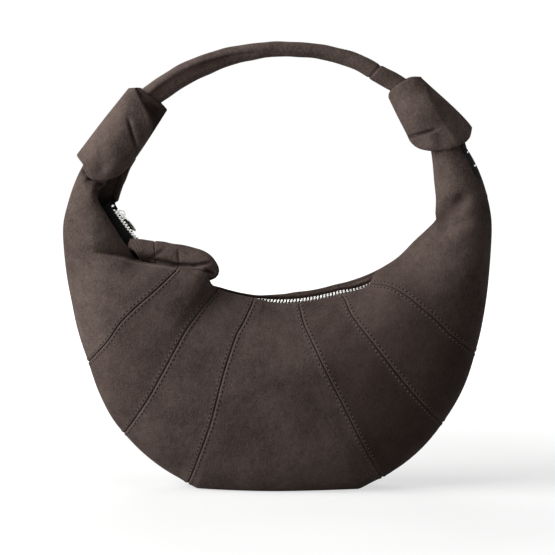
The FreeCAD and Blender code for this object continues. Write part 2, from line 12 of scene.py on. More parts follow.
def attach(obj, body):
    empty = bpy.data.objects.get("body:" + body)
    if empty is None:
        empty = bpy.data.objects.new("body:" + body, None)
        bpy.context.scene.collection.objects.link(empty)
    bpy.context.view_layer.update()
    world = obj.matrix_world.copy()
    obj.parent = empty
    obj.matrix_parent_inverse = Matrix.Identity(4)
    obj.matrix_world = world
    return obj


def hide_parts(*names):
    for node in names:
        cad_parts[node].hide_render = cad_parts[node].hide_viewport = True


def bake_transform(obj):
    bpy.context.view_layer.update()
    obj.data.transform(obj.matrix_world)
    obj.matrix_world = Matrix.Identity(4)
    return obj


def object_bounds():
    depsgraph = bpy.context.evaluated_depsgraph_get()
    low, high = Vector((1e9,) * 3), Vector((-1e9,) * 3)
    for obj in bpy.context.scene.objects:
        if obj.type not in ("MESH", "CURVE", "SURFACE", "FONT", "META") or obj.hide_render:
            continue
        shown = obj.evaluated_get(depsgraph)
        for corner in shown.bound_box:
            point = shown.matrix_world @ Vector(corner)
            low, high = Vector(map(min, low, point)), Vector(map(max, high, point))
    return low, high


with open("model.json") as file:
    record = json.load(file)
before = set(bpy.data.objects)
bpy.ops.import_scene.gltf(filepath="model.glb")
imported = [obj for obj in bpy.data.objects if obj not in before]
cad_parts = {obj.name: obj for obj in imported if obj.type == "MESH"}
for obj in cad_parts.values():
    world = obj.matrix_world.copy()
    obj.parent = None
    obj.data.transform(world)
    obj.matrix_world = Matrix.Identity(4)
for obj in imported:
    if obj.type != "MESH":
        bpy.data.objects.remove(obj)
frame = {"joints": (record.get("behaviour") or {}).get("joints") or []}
cad_low, cad_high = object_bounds()

bl_info = {
    "name": "Half moon bag",
    "version": (1, 0, 0),
    "blender": (4, 5, 0),
    "location": "View3D > Sidebar > Half Moon Bag",
    "description": "Dresses a crescent leather shoulder bag, piece by piece",
    "category": "Add Mesh",
}


joints = {joint["name"]: joint for joint in frame["joints"]}
arc_centre = Vector(joints["slider_travel"]["pos_m"])
pull_pivot = Vector(joints["pull_swing"]["pos_m"])
handle_end = Vector(joints["handle_swing"]["pos_m"])
handle_way = Vector(joints["handle_swing"]["axis"]).normalized()


def length(title, note, value):
    return bpy.props.FloatProperty(
        name=title, description=note, default=value, unit="LENGTH", precision=5)


def angle(title, note, degrees):
    return bpy.props.FloatProperty(
        name=title, description=note, default=math.radians(degrees), subtype="ANGLE")


def colour(title, note, value):
    return bpy.props.FloatVectorProperty(
        name=title, description=note, default=value, subtype="COLOR", min=0, max=1)


class BagSizes(bpy.types.PropertyGroup):
    """Sizes of the bag, in metres."""

    half_width: length(
        "Half width", "Half the width of the crescent", (cad_high.x - cad_low.x) / 2)
    belly_depth: length(
        "Belly depth", "Half the depth of the bag", (cad_high.y - cad_low.y) / 2)
    widest_height: length("Widest height", "Height of the widest line", 0.249)
    outline_drop: length("Outline drop", "Outline below the widest line", 0.2635)
    outline_rise: length("Outline rise", "Outline above the widest line", 0.175)
    base_half_depth: length("Base half depth", "Half the depth of the flat base", 0.029)
    edge_half_depth: length("Edge half depth", "Half the depth of the outer edge", 0.0025)
    left_inset: length("Left inset", "Left horn inside the zip's arc", 0.018)
    right_inset: length("Right inset", "Right horn inside the zip's arc", 0.042)
    leather: length("Leather", "Thickness of the panels", 0.001)
    rim_radius: length("Rim radius", "Rounding of the turned lip", 0.0012)
    hem_depth: length("Hem depth", "Leather turned in at the lip", 0.012)
    lining_gap: length("Lining gap", "Outer face of the leather to the lining", 0.0045)
    seam_depth: length("Seam depth", "Depth of the groove at a seam", 0.0010)
    seam_width: length("Seam width", "Half the width of the groove at a seam", 0.0008)
    seam_welt: length("Seam welt", "Rise of the leather beside a seam", 0.0004)
    panel_puff: length("Panel puff", "Swell of each panel between its seams", 0.0018)
    stitch_offset: length("Stitch offset", "Stitch row to its seam", 0.0031)
    stitch_pitch: length("Stitch pitch", "One stitch to the next", 0.0046)
    stitch_length: length("Stitch length", "Length of one stitch", 0.0026)
    stitch_width: length("Stitch width", "Thickness of the thread", 0.0012)
    hole_length: length("Hole length", "Needle hole along its row", 0.0024)
    hole_width: length("Hole width", "Needle hole across its row", 0.0012)
    zip_radius: length("Zip radius", "Arc of the zip", 0.191)
    tape_thickness: length("Tape thickness", "Zip tape", 0.0008)
    tape_width: length("Tape width", "Zip tape from the middle to its fold", 0.0059)
    tape_wall: length("Tape wall", "Zip tape turned down inside the front lip", 0.009)
    tooth_height: length("Tooth height", "Tooth through the tape", 0.0029)
    tooth_stagger: length("Tooth stagger", "Each row of teeth above or below the tape", 0.0008)
    tooth_length: length("Tooth length", "Tooth along the tape", 0.0019)
    tape_drop: length("Tape drop", "Front tape below the middle of the teeth", 0.0014)
    stop_height: length("Stop height", "End stop through the tape", 0.0034)
    tooth_reach: length("Tooth reach", "Tooth head from the middle", 0.0007)
    slider_length: length("Slider length", "Slider along the zip", 0.012)
    slider_width: length("Slider width", "Slider across the zip", 0.0095)
    slider_plate: length("Slider plate", "Thickness of a slider plate", 0.0011)
    pull_length: length("Pull length", "Bar to the tip of the pull", 0.022)
    handle_radius: length("Handle radius", "Arc of the handle", 0.210)
    handle_chord: length("Handle chord", "One end of the handle to the other", 0.24946)
    core_gap: length("Core gap", "Handle's leather to its core", 0.0024)
    knot_wall: length("Knot wall", "Rounding of the knot's rims", 0.0014)
    photo_pixel: length("Photo pixel", "One pixel on the bag's middle plane", 0.0009836)
    camera_distance: length("Camera distance", "Camera to the bag", 2.8)
    camera_aim: length("Camera aim", "Height that the camera looks at", 0.20705)
    camera_elevation: angle("Camera elevation", "Camera above the horizon", 5.0)


class BagColours(bpy.types.PropertyGroup):
    """Colours of the bag's finishes."""

    leather: colour("Leather", "Main tone of the nubuck", (0.104, 0.075, 0.066))
    leather_deep: colour("Deep leather", "Dark clouds in the nubuck", (0.046, 0.032, 0.028))
    # The worn tone also paints highlights: on seams, the left fold's ridge and the back hem.
    leather_worn_and_lit: colour("Worn leather", "Rubbed edges and seams", (0.160, 0.122, 0.108))
    thread: colour("Thread", "Stitches", (0.125, 0.094, 0.083))
    # Near-black, it paints the shade inside the needle holes.
    hole: colour("Holes", "Needle holes between the stitches", (0.008, 0.006, 0.005))
    lining: colour("Lining", "Cotton lining", (0.050, 0.042, 0.038))
    tape: colour("Zip tape", "Woven tape", (0.010, 0.010, 0.011))
    metal: colour("Zip metal", "Bright nickel", (0.76, 0.75, 0.73))
    core: colour("Core", "Soft cord inside the handle", (0.50, 0.47, 0.42))
    floor: colour("Floor", "Plain pale floor", (0.45, 0.45, 0.45))


# The photograph's frame, in its own pixels.
photo_side = 555
photo_middle = 277.5
floor_row = 488.0

# Angles about the zip's arc centre, in degrees from straight down, left negative.
left_end_angle = -64.4
right_end_angle = 71.9
panel_edges = (-70.0, -33.8, -19.5, -8.5, 7.0, 19.0, 31.0, 77.0)
zip_angles = (-61.0, 57.0)
teeth_angles = (-58.2, 53.0)
top_stop_angle = -59.6
bottom_stop_angle = 54.2
slider_angle = -56.2
tail_angles = (60.5, 75.5)
tail_stop_angles = (67.6, 70.9)

# The two sides of the bag, and its panels on each side.
sides = (("front", -1), ("back", 1))
panel_count = len(panel_edges) - 1

# Columns and rows of the grids that the soft pieces are made from.
panel_grid, end_panel_grid = (90, 150), (124, 150)
lining_grid = (120, 70)
fold_grid = (72, 190)
tail_grid = (34, 60)
wrap_grid = (150, 170)
handle_grid, core_grid = (64, 320), (24, 120)

# Teeth of one row, how far they lean along the zip, and their width, their
# place and the tape's edge as shares of the reach of a tooth. Then their
# rounding in metres.
teeth_count = 113
tooth_lean = 0.4
tooth_width_share = 2.4
tooth_seat_share = 0.62
tape_edge_share = 1.6
tooth_rounding = 0.0003
# End stops of the zip, and the lift of its tail off the leather, in metres.
stop_length = 0.0022
top_stop_width, top_stop_offset = 0.0011, 0.0014
bottom_stop_width, bottom_stop_rounding = 0.004, 0.0005
tail_stop_size, tail_stop_rounding = (0.0018, 0.0048, 0.0014), 0.0004
tail_lift = 0.0009
# Steps of the tapes along the zip.
tape_steps = 150
# The slider with its post and bridge, in metres. Its plates narrow by the taper's share.
slider_clearance = 0.0001
slider_rounding = 0.0005
slider_taper = 0.26
post_place, post_length, post_width, post_rounding = -0.004, 0.003, 0.001, 0.0002
bridge_span, bridge_wire, bridge_sink = 0.0036, 0.0009, 0.0002
bridge_segments, bridge_steps = 12, 16
# The pull: its turns in radians, then where it twists, its ends and its widths in metres.
pull_lift = math.radians(4)
pull_twist = math.radians(-35)
pull_neck = (0.004, 0.012)
pull_bar = (-0.0005, 0.0003)
pull_slot_end = 0.005
pull_half_width, pull_flare, pull_slot_half_width = 0.0030, 0.0008, 0.0015
pull_thickness, pull_rounding = 0.0009, 0.0002
pull_segments = 28
# Edges of the pull that turn by more than this, in radians, are rounded.
sharp_angle = 1.0

# How far the ends of the panels run on into the knots, in metres to the degree,
# how much they narrow there, and over which length.
horn_tuck = 0.005
horn_narrowing, horn_narrowing_run = 0.12, 0.02

# How far each seam of the front bends aside, in degrees, by place along its panel.
straight_edge = ((0.0, 0.0), (1.0, 0.0))
seam_bends = (
    straight_edge,
    ((0.13, 0.9), (0.27, 0.4), (0.45, -0.6), (0.54, -0.8), (0.67, 0.0), (1.0, 0.0)),
    ((0.11, 0.5), (0.23, -0.6), (0.35, -1.0), (0.46, -0.5), (0.55, 0.0), (0.65, 0.4), (1.0, 0.2)),
    ((0.13, 0.6), (0.22, 0.0), (0.29, -0.65), (0.39, -0.5), (0.53, 0.1), (0.6, 0.4), (1.0, 0.2)),
    ((0.12, -1.7), (0.21, -2.0), (0.3, -1.6), (0.44, -1.2), (0.58, -0.8), (1.0, -0.2)),
    ((0.14, -0.9), (0.25, -1.8), (0.4, -1.5), (0.55, -1.3), (0.8, -0.6), (1.0, -0.2)),
    ((0.10, -4.0), (0.14, -3.1), (0.18, -1.9), (0.25, -0.2), (0.32, 0.6), (0.38, 0.9),
     (0.52, 0.9), (0.63, 0.4), (1.0, 0.4)),
    straight_edge,
)
# Degrees past a panel's edges, and columns, from which its bent grid is read off.
bend_room = 5.0
bend_columns = 260

# Each row is an angle about the arc centre, and the outline angle sewn to it.
outline_turns = (
    (-64.4, -111.0), (-61.0, -102.0), (-56.0, -91.0), (-46.0, -73.0),
    (-33.8, -56.2), (-19.5, -38.2), (-8.5, -20.4), (0.0, 0.0), (7.0, 24.2),
    (19.0, 42.0), (31.0, 58.8), (40.0, 70.0), (49.0, 81.0), (55.0, 91.0),
    (62.0, 102.0), (71.9, 114.9),
)
# Each row is an outline angle, and how far the outline stands out there, in metres.
outline_trims = (
    (-111.0, -0.003), (-100.0, -0.002), (-92.0, 0.0), (-80.0, -0.002), (-70.0, -0.004),
    (-58.0, -0.004), (-48.0, -0.0015), (-40.0, 0.001), (-28.0, 0.0), (20.0, 0.0005),
    (26.0, 0.0030), (40.0, 0.0038), (50.0, 0.003), (60.0, 0.001), (70.0, -0.001),
    (80.0, -0.0015), (95.0, 0.0),
)
# By angle: shares of the belly's depth, of the flat base and of the insets of both horns.
belly_shares = (
    (-64.4, 0.30), (-61.0, 0.38), (-56.0, 0.49), (-46.0, 0.71), (-36.0, 0.86),
    (-19.5, 0.96), (-8.5, 1.0), (7.0, 1.0), (19.0, 0.96), (31.0, 0.86),
    (40.0, 0.76), (49.0, 0.66), (55.0, 0.58), (62.0, 0.48), (71.9, 0.38),
)
base_shares = ((-9.5, 0.0), (-6.6, 0.45), (0.0, 1.0), (4.9, 0.45), (8.0, 0.0))
left_inset_shares = ((-64.4, 1.0), (-61.0, 0.1), (-58.0, 0.0))
right_inset_shares = ((55.0, 0.0), (62.0, 0.45), (71.9, 1.0))

# Each lip by angle: its distance from the arc centre in the photograph's
# pixels, and its distance from the middle plane in metres. The first two sets
# of rows belong to both lips.
right_lip_reach = ((32.7, 189.0), (38.4, 190.0), (45.2, 188.8))
horn_lip_reach = ((59.5, 181.0), (64.9, 170.0), (73.7, 157.3))
front_lip_reach = (
    (-69.3, 202.0), (-65.0, 202.7), (-63.4, 203.5), (-62.4, 211.0), (-61.5, 212.5),
    (-60.6, 210.3), (-59.5, 207.8), (-57.5, 205.3), (-53.3, 205.0), (-50.4, 206.0),
    (-48.4, 206.6), (-45.5, 208.0), (-43.6, 209.5), (-41.0, 205.7), (-37.5, 197.0),
    (-33.4, 191.0), (-30.1, 185.7), (-26.4, 180.5), (-24.6, 181.5), (-22.8, 186.5),
    (-21.7, 188.9), (-20.5, 190.2), (-18.8, 191.4), (-8.3, 191.8), (-5.5, 192.8),
    (-4.0, 194.3), (0.0, 195.6), (13.0, 195.6), (18.2, 196.5), (20.4, 197.3),
    (22.6, 198.4), (24.6, 199.0), (26.2, 198.2), (27.4, 196.2), (28.6, 193.6),
    (29.8, 191.2), (31.2, 189.5), *right_lip_reach, (51.5, 190.6), (54.6, 191.8),
    (56.2, 187.5), *horn_lip_reach,
)
back_lip_reach = (
    (-70.0, 168.0), (-65.9, 169.7), (-61.8, 180.5), (-60.2, 190.0), (-57.0, 190.8),
    (-51.0, 191.2), (-48.0, 196.0), (-40.0, 199.0), (-25.0, 192.0), (-17.9, 189.0),
    (-7.9, 188.8), (-3.1, 187.3), (1.9, 186.0), (6.9, 184.0), (17.1, 184.0), (22.1, 185.7),
    *right_lip_reach, (51.5, 191.6), (54.6, 193.8), (56.2, 189.0), *horn_lip_reach,
)
front_lip_depth = (
    (-66.0, 0.0050), (-61.5, 0.0110), (-58.0, 0.0160), (-50.0, 0.0175), (-45.0, 0.0190),
    (-41.0, 0.0215), (-35.0, 0.0250), (-28.0, 0.0260), (-24.0, 0.0240), (-21.5, 0.0160),
    (-19.0, 0.0085), (-14.0, 0.0075), (54.0, 0.0072), (60.0, 0.0040), (72.0, 0.0025),
)
back_lip_depth = (
    (-66.0, 0.009), (-60.0, 0.0078), (54.0, 0.0074), (60.0, 0.0040), (72.0, 0.0025),
)

# How much darker each front panel is painted, from the left, as shares at its two seams:
# partly the hide's own tone, partly painted shade, strongest on the right panels that turn
# away from the light.
panel_shades = (
    (0.0, 0.0), (0.38, 0.38), (0.22, 0.28), (0.34, 0.44), (0.96, 0.96), (0.92, 0.92),
    (1.05, -0.6),
)

# The share of that darkening which is left at the lip; below it the painted shade grows, so
# the panels are darker towards the bottom.
lip_shade = 0.45
# Widths in metres: of a panel's fall towards its seams, of the welt beside a seam
# with its distance from it, and of the dent under a row of stitches.
puff_width = 0.021
welt_offset, welt_width = 0.0022, 0.0016
stitch_dent = 0.0006
# Shades of the line at a seam, at the outer edge and under the stitches.
seam_line, edge_line, stitch_line = 0.9, 0.5, 0.30
line_width = 0.0010
# The leather turned over on one side of a seam, painted lighter there as a highlight: its
# place and width in metres, its share of less seam line and its painted highlight. Then the
# rubbed bands along seams, and the painted light on the back hem's band.
turned_offset, turned_width, turned_light, turned_highlight = 0.0008, 0.0006, 0.4, 1.7
rub_offset, rub_width = 0.0032, 0.0026
hem_light = 1.6
# The painted highlight on the ridge of the left fold, and the share of it that spreads below
# as painted light.
ridge_light = 6.0
ridge_spread = 0.22

# The back hem's shadow beside the teeth: where it starts and is full, from the zip's arc.
hem_slit = (-0.0054, -0.0042)
slit_shade = 1.33
# How far the soft end of the zip sags below its arc, in metres, by angle.
zip_sags = (
    (14.0, 0.0), (18.2, 0.0005), (20.4, 0.0020), (22.6, 0.0035), (25.6, 0.0046),
    (28.0, 0.0044), (31.0, 0.0032), (36.0, 0.0011), (40.0, 0.0),
)

# Where the stretches of a section meet: hem, turned lip, upper, lower, edge.
hem_share = 0.055
rim_share = 0.10
belly_share = 0.53
edge_share = 0.93
# Where the groove and the welt of a seam start, below the turned lip.
seam_start = (0.095, 0.125)
# Where slouch and swell start below the lip, and where the outer edge holds them and the
# left fold back.
slouch_start, puff_start = (rim_share, 0.3), (rim_share, 0.26)
edge_hold, ledge_hold = (0.8, 0.97), (0.75, 0.95)
# Where the stitches end, and where the lining starts and ends.
stitch_end = 0.985
lining_shares = (0.15, 0.92)
# Where the tape over the right horn lies on the front and the back, with its rows there,
# where its stops lie, and over which stretch it widens.
tail_front_rows, tail_back_rows = (0.73, 0.999, 20), (0.999, 0.93, 15)
tail_stop_rows = (0.77, 0.85, 3)
tail_widening = (-0.1, 0.4)

# Shape of a section, as shares of the stretch that each one belongs to.
belly_place_share = 0.52
lip_slant_share = 0.22
lip_swell_share = 0.62
belly_round_share = 0.42
quarter_round_share = 0.55
facing_share = 0.9
hem_lean = 0.30
# Powers of the rounded outline below and above its widest line, and the least
# cosine at which the flat base cuts it.
drop_power = 2.2
rise_power = 2.0
least_downward = 0.2
# The left end of the hem is deeper by this share, between these angles.
hem_more, hem_more_angles = 1.2, (-58, -64)
# Angles between which the back hem hangs down: on the left, then on the right.
hang_left, hang_right = (-46, -34), (34, 46)

# The fold across the left of the front, in the photograph's pixels.
ledge_ridge = ((88, 254), (96, 255), (128, 261), (143, 263), (175, 268), (207, 284), (218, 291))
ledge_push_shares = ((86, 0), (104, 0.5), (128, 1), (150, 1), (180, 0.6), (205, 0.2), (216, 0))
ledge_pull_shares = ((93, 0), (104, 0.5), (120, 1), (138, 1), (148, 0))
# Pixels over which the fold fades below and above its ridge, over which its
# painted shade fades, and the strip at the ridge where the painted shade ends. Then the
# place, width and fade of the painted highlight on the ridge.
ledge_fade_below, ledge_fade_above, ledge_shade_fade = 32, 15, 9
ledge_shade_end = (-1.2, 0.2)
ridge_place, ridge_width, ridge_fade = 0.6, 1.2, 12
# The fold's painted shade above its ridge, and how far it stands out below its ridge and
# lies back above it.
ledge_shade = 0.62
ledge_push = 0.0068
ledge_pull = 0.0125

# Creases of the front: the pixels where each one starts and ends, its depth and
# the swell beside it in metres, and its half width in pixels.
front_creases = (
    ((443.0, 219.0), (467.0, 194.5), 0.0082, 0.0030, 7.5),
    ((442.0, 207.0), (453.0, 196.0), 0.0018, 0.0008, 4.0),
    ((443.0, 232.0), (473.0, 218.0), 0.0046, 0.0010, 5.5),
    ((84.0, 170.5), (93.0, 180.0), 0.0095, 0.0000, 2.6),
    ((92.0, 180.0), (107.0, 186.5), 0.0095, 0.0000, 2.6),
    ((96.0, 191.0), (104.0, 199.0), 0.0075, 0.0015, 2.6),
    ((70.0, 250.0), (92.0, 262.0), 0.0014, 0.0008, 4.5),
    ((352.0, 292.0), (392.0, 300.0), 0.0012, 0.0008, 5.0),
    ((398.0, 270.0), (440.0, 266.0), 0.0030, -0.0018, 7.0),
)
# The depth at which a crease's painted shade is darkest, the shares of its line over which
# it starts and ends, and the place and width of its swell by its own half width.
dark_crease = 0.0095
crease_start, crease_end = (-0.45, 0.05), (0.55, 1.2)
swell_place, swell_width = 2.3, 1.7

# Waves of the slouch: height, radians to the metre along X and along Z, and start.
# Then the metres to which a height of one comes.
slouch_waves = (
    (0.8, 31, 17, 0.6), (0.7, -19, 43, 2.1), (0.5, 57, 29, 4.0), (0.45, -44, 61, 1.2),
    (0.28, 97, -38, 3.3), (0.25, 71, 88, 5.1),
)
slouch_height = 0.0011


def smooth_rows(rows, places):
    """Values at places, on a smooth curve through rows of place and value."""
    known, values = np.array(rows, float).T
    step = np.diff(known)
    slope = np.diff(values) / step
    product = slope[:-1] * slope[1:]
    turning = product <= 0
    total = np.where(turning, 1.0, slope[:-1] + slope[1:])
    tangent = np.zeros(len(known))
    tangent[0], tangent[-1] = slope[0], slope[-1]
    tangent[1:-1] = np.where(turning, 0.0, 2 * product / total)
    places = np.clip(places, known[0], known[-1])
    cell = np.clip(np.searchsorted(known, places, side="right") - 1, 0, len(step) - 1)
    share = (places - known[cell]) / step[cell]
    square, cube = share ** 2, share ** 3
    value = (2 * cube - 3 * square + 1) * values[cell]
    value += (cube - 2 * square + share) * step[cell] * tangent[cell]
    value += (3 * square - 2 * cube) * values[cell + 1]
    value += (cube - square) * step[cell] * tangent[cell + 1]
    return value


def ease(low, high, value):
    """0 at low and before, 1 at high and past it, with a smooth change between."""
    share = np.clip((value - low) / (high - low), 0, 1)
    return share * share * (3 - 2 * share)


def bump(value, width):
    """1 at nought, falling away smoothly on both sides."""
    return np.exp(-(value / width) ** 2)


def bump_at(value, place, width):
    """1 at a place, falling away smoothly on both sides of it."""
    return bump(value - place, width)


def rolling(waves, place, turn):
    """Unevenness of a roll: waves by height, radians along the roll and turns round it."""
    return sum(height * np.sin(place * along + turn * turns) for height, along, turns in waves)


def between(ends, share):
    """A value part of the way from the first of two ends to the last."""
    return ends[0] + (ends[-1] - ends[0]) * share


def unit(vectors):
    """Vectors of the same ways, one long."""
    return vectors / np.maximum(np.linalg.norm(vectors, axis=-1, keepdims=True), 1e-12)


def along_line(start, end, first, second):
    """Share of the way along a line and distance to its side, for places given by two values."""
    run = np.subtract(end, start)
    size = np.linalg.norm(run)
    run = run / size
    first, second = first - start[0], second - start[1]
    return (first * run[0] + second * run[1]) / size, second * run[0] - first * run[1]


def camera_frame(sizes):
    """The camera's place, the way it looks and its upward way."""
    rise = sizes.camera_elevation
    forward = np.array((0, math.cos(rise), -math.sin(rise)))
    upward = np.array((0, math.sin(rise), math.cos(rise)))
    place = np.array((0, 0, sizes.camera_aim)) - forward * sizes.camera_distance
    return place, forward, upward


def to_photo(sizes, points):
    """Column and row at which the camera sees each point."""
    place, forward, upward = camera_frame(sizes)
    offset = points - place
    scale = sizes.camera_distance / sizes.photo_pixel / (offset @ forward)
    return photo_middle + offset[..., 0] * scale, photo_middle - (offset @ upward) * scale


def seen_at(sizes, column, row, depth):
    """X and Z of the point at that depth which the camera sees at a pixel."""
    place, forward, upward = camera_frame(sizes)
    scale = sizes.photo_pixel / sizes.camera_distance
    sideways = (np.asarray(column, float) - photo_middle) * scale
    climb = (photo_middle - np.asarray(row, float)) * scale
    ahead = forward[1] + climb * upward[1]
    travel = (depth - place[1]) / ahead
    return travel * sideways, place[2] + travel * (forward[2] + climb * upward[2])


def on_photo(sizes, column, row):
    """X and Z on the bag's middle plane, straight from a pixel."""
    return (column - photo_middle) * sizes.photo_pixel, (floor_row - row) * sizes.photo_pixel


def mouth_places(sizes, turn_angle):
    """X and Z where each section starts, on the zip's arc or inside it at the horns."""
    inset = smooth_rows(left_inset_shares, turn_angle) * sizes.left_inset
    inset = inset + smooth_rows(right_inset_shares, turn_angle) * sizes.right_inset
    reach = sizes.zip_radius - inset
    turn = np.radians(turn_angle)
    return np.stack([arc_centre.x + np.sin(turn) * reach, arc_centre.z - np.cos(turn) * reach], -1)


def outline_places(sizes, turn_angle):
    """X and Z of the outer edge, where each section ends."""
    turn = np.radians(smooth_rows(outline_turns, turn_angle))
    sideways, downward = np.sin(turn), np.cos(turn)
    height = np.where(downward > 0, sizes.outline_drop, sizes.outline_rise)
    power = np.where(downward > 0, drop_power, rise_power)
    wide_part = (np.abs(sideways) / sizes.half_width) ** power
    high_part = (np.abs(downward) / height) ** power
    reach = (wide_part + high_part) ** (-1 / power)
    reach = reach + smooth_rows(outline_trims, np.degrees(turn))
    reach = np.minimum(reach, sizes.widest_height / np.maximum(downward, least_downward))
    return np.stack([sideways * reach, sizes.widest_height - downward * reach], -1)


def lip_places(sizes, side, turn_angle, gap):
    """X and Z of a lip, placed by what the photograph shows of it."""
    middle_column = photo_middle + arc_centre.x / sizes.photo_pixel
    middle_row = floor_row - arc_centre.z / sizes.photo_pixel
    reach = smooth_rows(front_lip_reach if side < 0 else back_lip_reach, turn_angle)
    turn = np.radians(turn_angle)
    column = middle_column + np.sin(turn) * reach
    row = middle_row + np.cos(turn) * reach
    return np.stack(seen_at(sizes, column, row, side * gap), -1)


def bezier(poles, share):
    """Values on a cubic curve of four poles."""
    rest = 1 - share
    weights = (rest ** 3, 3 * rest ** 2 * share, 3 * rest * share ** 2, share ** 3)
    return sum(weight * pole[None] for weight, pole in zip(weights, poles))


def section_stretches(sizes, side, turn_angle, shares):
    """Start, way and reach of each section, and the length and depth along it by angle."""
    held = np.clip(turn_angle, left_end_angle, right_end_angle)
    start, end = mouth_places(sizes, held), outline_places(sizes, held)
    reach = np.linalg.norm(end - start, axis=-1)
    way = (end - start) / reach[:, None]
    gap = smooth_rows(front_lip_depth if side < 0 else back_lip_depth, held)
    lip = np.sum((lip_places(sizes, side, held, gap) - start) * way, axis=-1)
    depth = smooth_rows(belly_shares, held) * sizes.belly_depth
    flat = sizes.base_half_depth - sizes.edge_half_depth
    edge = sizes.edge_half_depth + flat * smooth_rows(base_shares, held)
    belly = reach * belly_place_share
    run, swell, tail = belly - lip, depth - gap, reach - belly
    slope = np.stack([run * lip_slant_share, swell * lip_swell_share])
    slope /= np.linalg.norm(slope, axis=0)
    inward = np.stack([slope[1], -slope[0]])
    first = np.stack([lip, gap])
    thick = sizes.rim_radius
    deep = sizes.hem_depth * (1 + hem_more * ease(*hem_more_angles, held))
    deep = np.minimum(deep, swell / slope[1] / 2)
    result = np.empty((2, len(shares), len(turn_angle)))

    def stretch(low, high):
        """The rows between two shares, and how far along that stretch each one is."""
        part = (shares >= low) & (shares < high)
        return part, ((shares[part] - low) / (high - low))[:, None]

    part, share = stretch(0, hem_share)
    hang = facing_share * ease(*hang_left, held) * (1 - ease(*hang_right, held)) * (side > 0)
    hem = slope * (1 - hang) + hang * np.array((1.0, -hem_lean))[:, None]
    result[:, part] = (first + 2 * thick * inward)[:, None] + (hem * deep)[:, None] * (1 - share)
    result[1, part] = np.maximum(result[1, part], sizes.rim_radius / 4)

    part, share = stretch(hem_share, rim_share)
    turn = share * math.pi
    rim = (first + thick * inward)[:, None] + thick * np.cos(turn) * inward[:, None]
    result[:, part] = rim - thick * np.sin(turn) * slope[:, None]

    part, share = stretch(rim_share, belly_share)
    lengths = (lip, lip + run * lip_slant_share, belly - run * belly_round_share, belly)
    depths = (gap, gap + swell * lip_swell_share, depth, depth)
    result[:, part] = bezier(lengths, share), bezier(depths, share)

    part, share = stretch(belly_share, edge_share)
    lengths = (belly, belly + tail * quarter_round_share, reach, reach)
    depths = (depth, depth, edge + (depth - edge) * quarter_round_share, edge)
    result[:, part] = bezier(lengths, share), bezier(depths, share)

    part = shares >= edge_share
    share = ((shares[part] - edge_share) / (1 - edge_share))[:, None]
    result[:, part] = np.stack([reach + 0 * share, edge * (1 - share)])
    return start, way, reach, result


def slouch(points):
    """Slow unevenness of soft leather that stands under its own weight."""
    x, z = points[..., 0], points[..., 2]
    return sum(high * np.sin(by_x * x + by_z * z + start)
               for high, by_x, by_z, start in slouch_waves)


def below_ledge(sizes, points):
    """Columns of points in the photograph, and their rows below the left fold's ridge."""
    column, row = to_photo(sizes, points)
    return column, row - smooth_rows(ledge_ridge, column)


def left_ledge(sizes, points):
    """Push towards the viewer below the fold on the left, and pull above it."""
    column, below = below_ledge(sizes, points)
    lower = 0.5 + 0.5 * np.tanh(below)
    push = ledge_push * smooth_rows(ledge_push_shares, column)
    pull = ledge_pull * smooth_rows(ledge_pull_shares, column)
    push = push * lower * np.exp(-np.maximum(below, 0) / ledge_fade_below)
    return push - pull * (1 - lower) * np.exp(np.minimum(below, 0) / ledge_fade_above)


def crease_field(sizes, points, creases):
    """Valleys along lines that the camera sees, each with a swell under it."""
    column, row = to_photo(sizes, points)
    total = np.zeros_like(column)
    for start, end, depth, swell, width in creases:
        share, aside = along_line(start, end, column, row)
        fade = ease(*crease_start, share) * (1 - ease(*crease_end, share))
        swelling = swell * bump(aside - swell_place * width, swell_width * width)
        total += fade * (swelling - depth * bump(aside, width))
    return total


def soft_places(sizes, side, turn_angle, shares):
    """The leather before its seams: rows from hem to outer edge, columns by angle."""
    start, way, reach, stretch = section_stretches(sizes, side, turn_angle, shares)
    flat = start[None] + way[None] * stretch[0][..., None]
    left_more = np.maximum(left_end_angle - turn_angle, 0) * horn_tuck
    right_more = np.maximum(turn_angle - right_end_angle, 0) * horn_tuck
    middle = start + way * reach[:, None] / 2
    shrink = 1 - horn_narrowing * ease(0, horn_narrowing_run, left_more + right_more)
    flat = middle + (flat - middle) * shrink[None, :, None]
    flat = flat + np.outer(left_more, left_knot.along)[None]
    flat = flat + np.outer(right_more, right_knot.along)[None]
    points = np.stack([flat[..., 0], side * stretch[1] * shrink[None], flat[..., 1]], -1)
    held = 1 - ease(*edge_hold, shares)[:, None]
    free = ease(*slouch_start, shares)[:, None]
    points[..., 1] += side * slouch_height * slouch(points) * free * held
    if side < 0:
        points[..., 1] -= left_ledge(sizes, points) * (1 - ease(*ledge_hold, shares))[:, None]
        points[..., 1] -= crease_field(sizes, points, front_creases) * held
    points[..., 2] = np.maximum(points[..., 2], 0)
    return points


def outward_ways(sizes, side, turn_angle, shares, points):
    """Unit normals of the soft leather, pointing out of the bag."""
    nudge = 0.05
    along = soft_places(sizes, side, turn_angle + nudge, shares)
    along = along - soft_places(sizes, side, turn_angle - nudge, shares)
    normal = unit(np.cross(along, np.gradient(points, axis=0)))
    middle_row = int(len(shares) * belly_share)
    return normal * np.sign(normal[middle_row, len(turn_angle) // 2, 1] * side)


def crowded(across):
    """Shares from 0 to 1 that lie closer together near both ends."""
    crowding = 0.75
    return across - crowding / (2 * math.pi) * np.sin(2 * math.pi * across)


def resampled(values, known, wanted):
    """Each line of points, known at some places along it, read off at the places wanted."""
    lines = zip(values, np.broadcast_to(known, values.shape[:2]), wanted)
    rows = [[np.interp(spots, places, line[:, axis]) for axis in range(3)]
            for line, places, spots in lines]
    return np.array(rows).transpose(0, 2, 1)


# A panel's points, its distances to its two seams and its outer edge, and three masks:
# painted shade in its creases and above the left fold, the painted shadow beside the teeth,
# and the painted highlight on the left fold's ridge.
PanelShape = namedtuple("PanelShape", "places left right edge creased slit ridge")


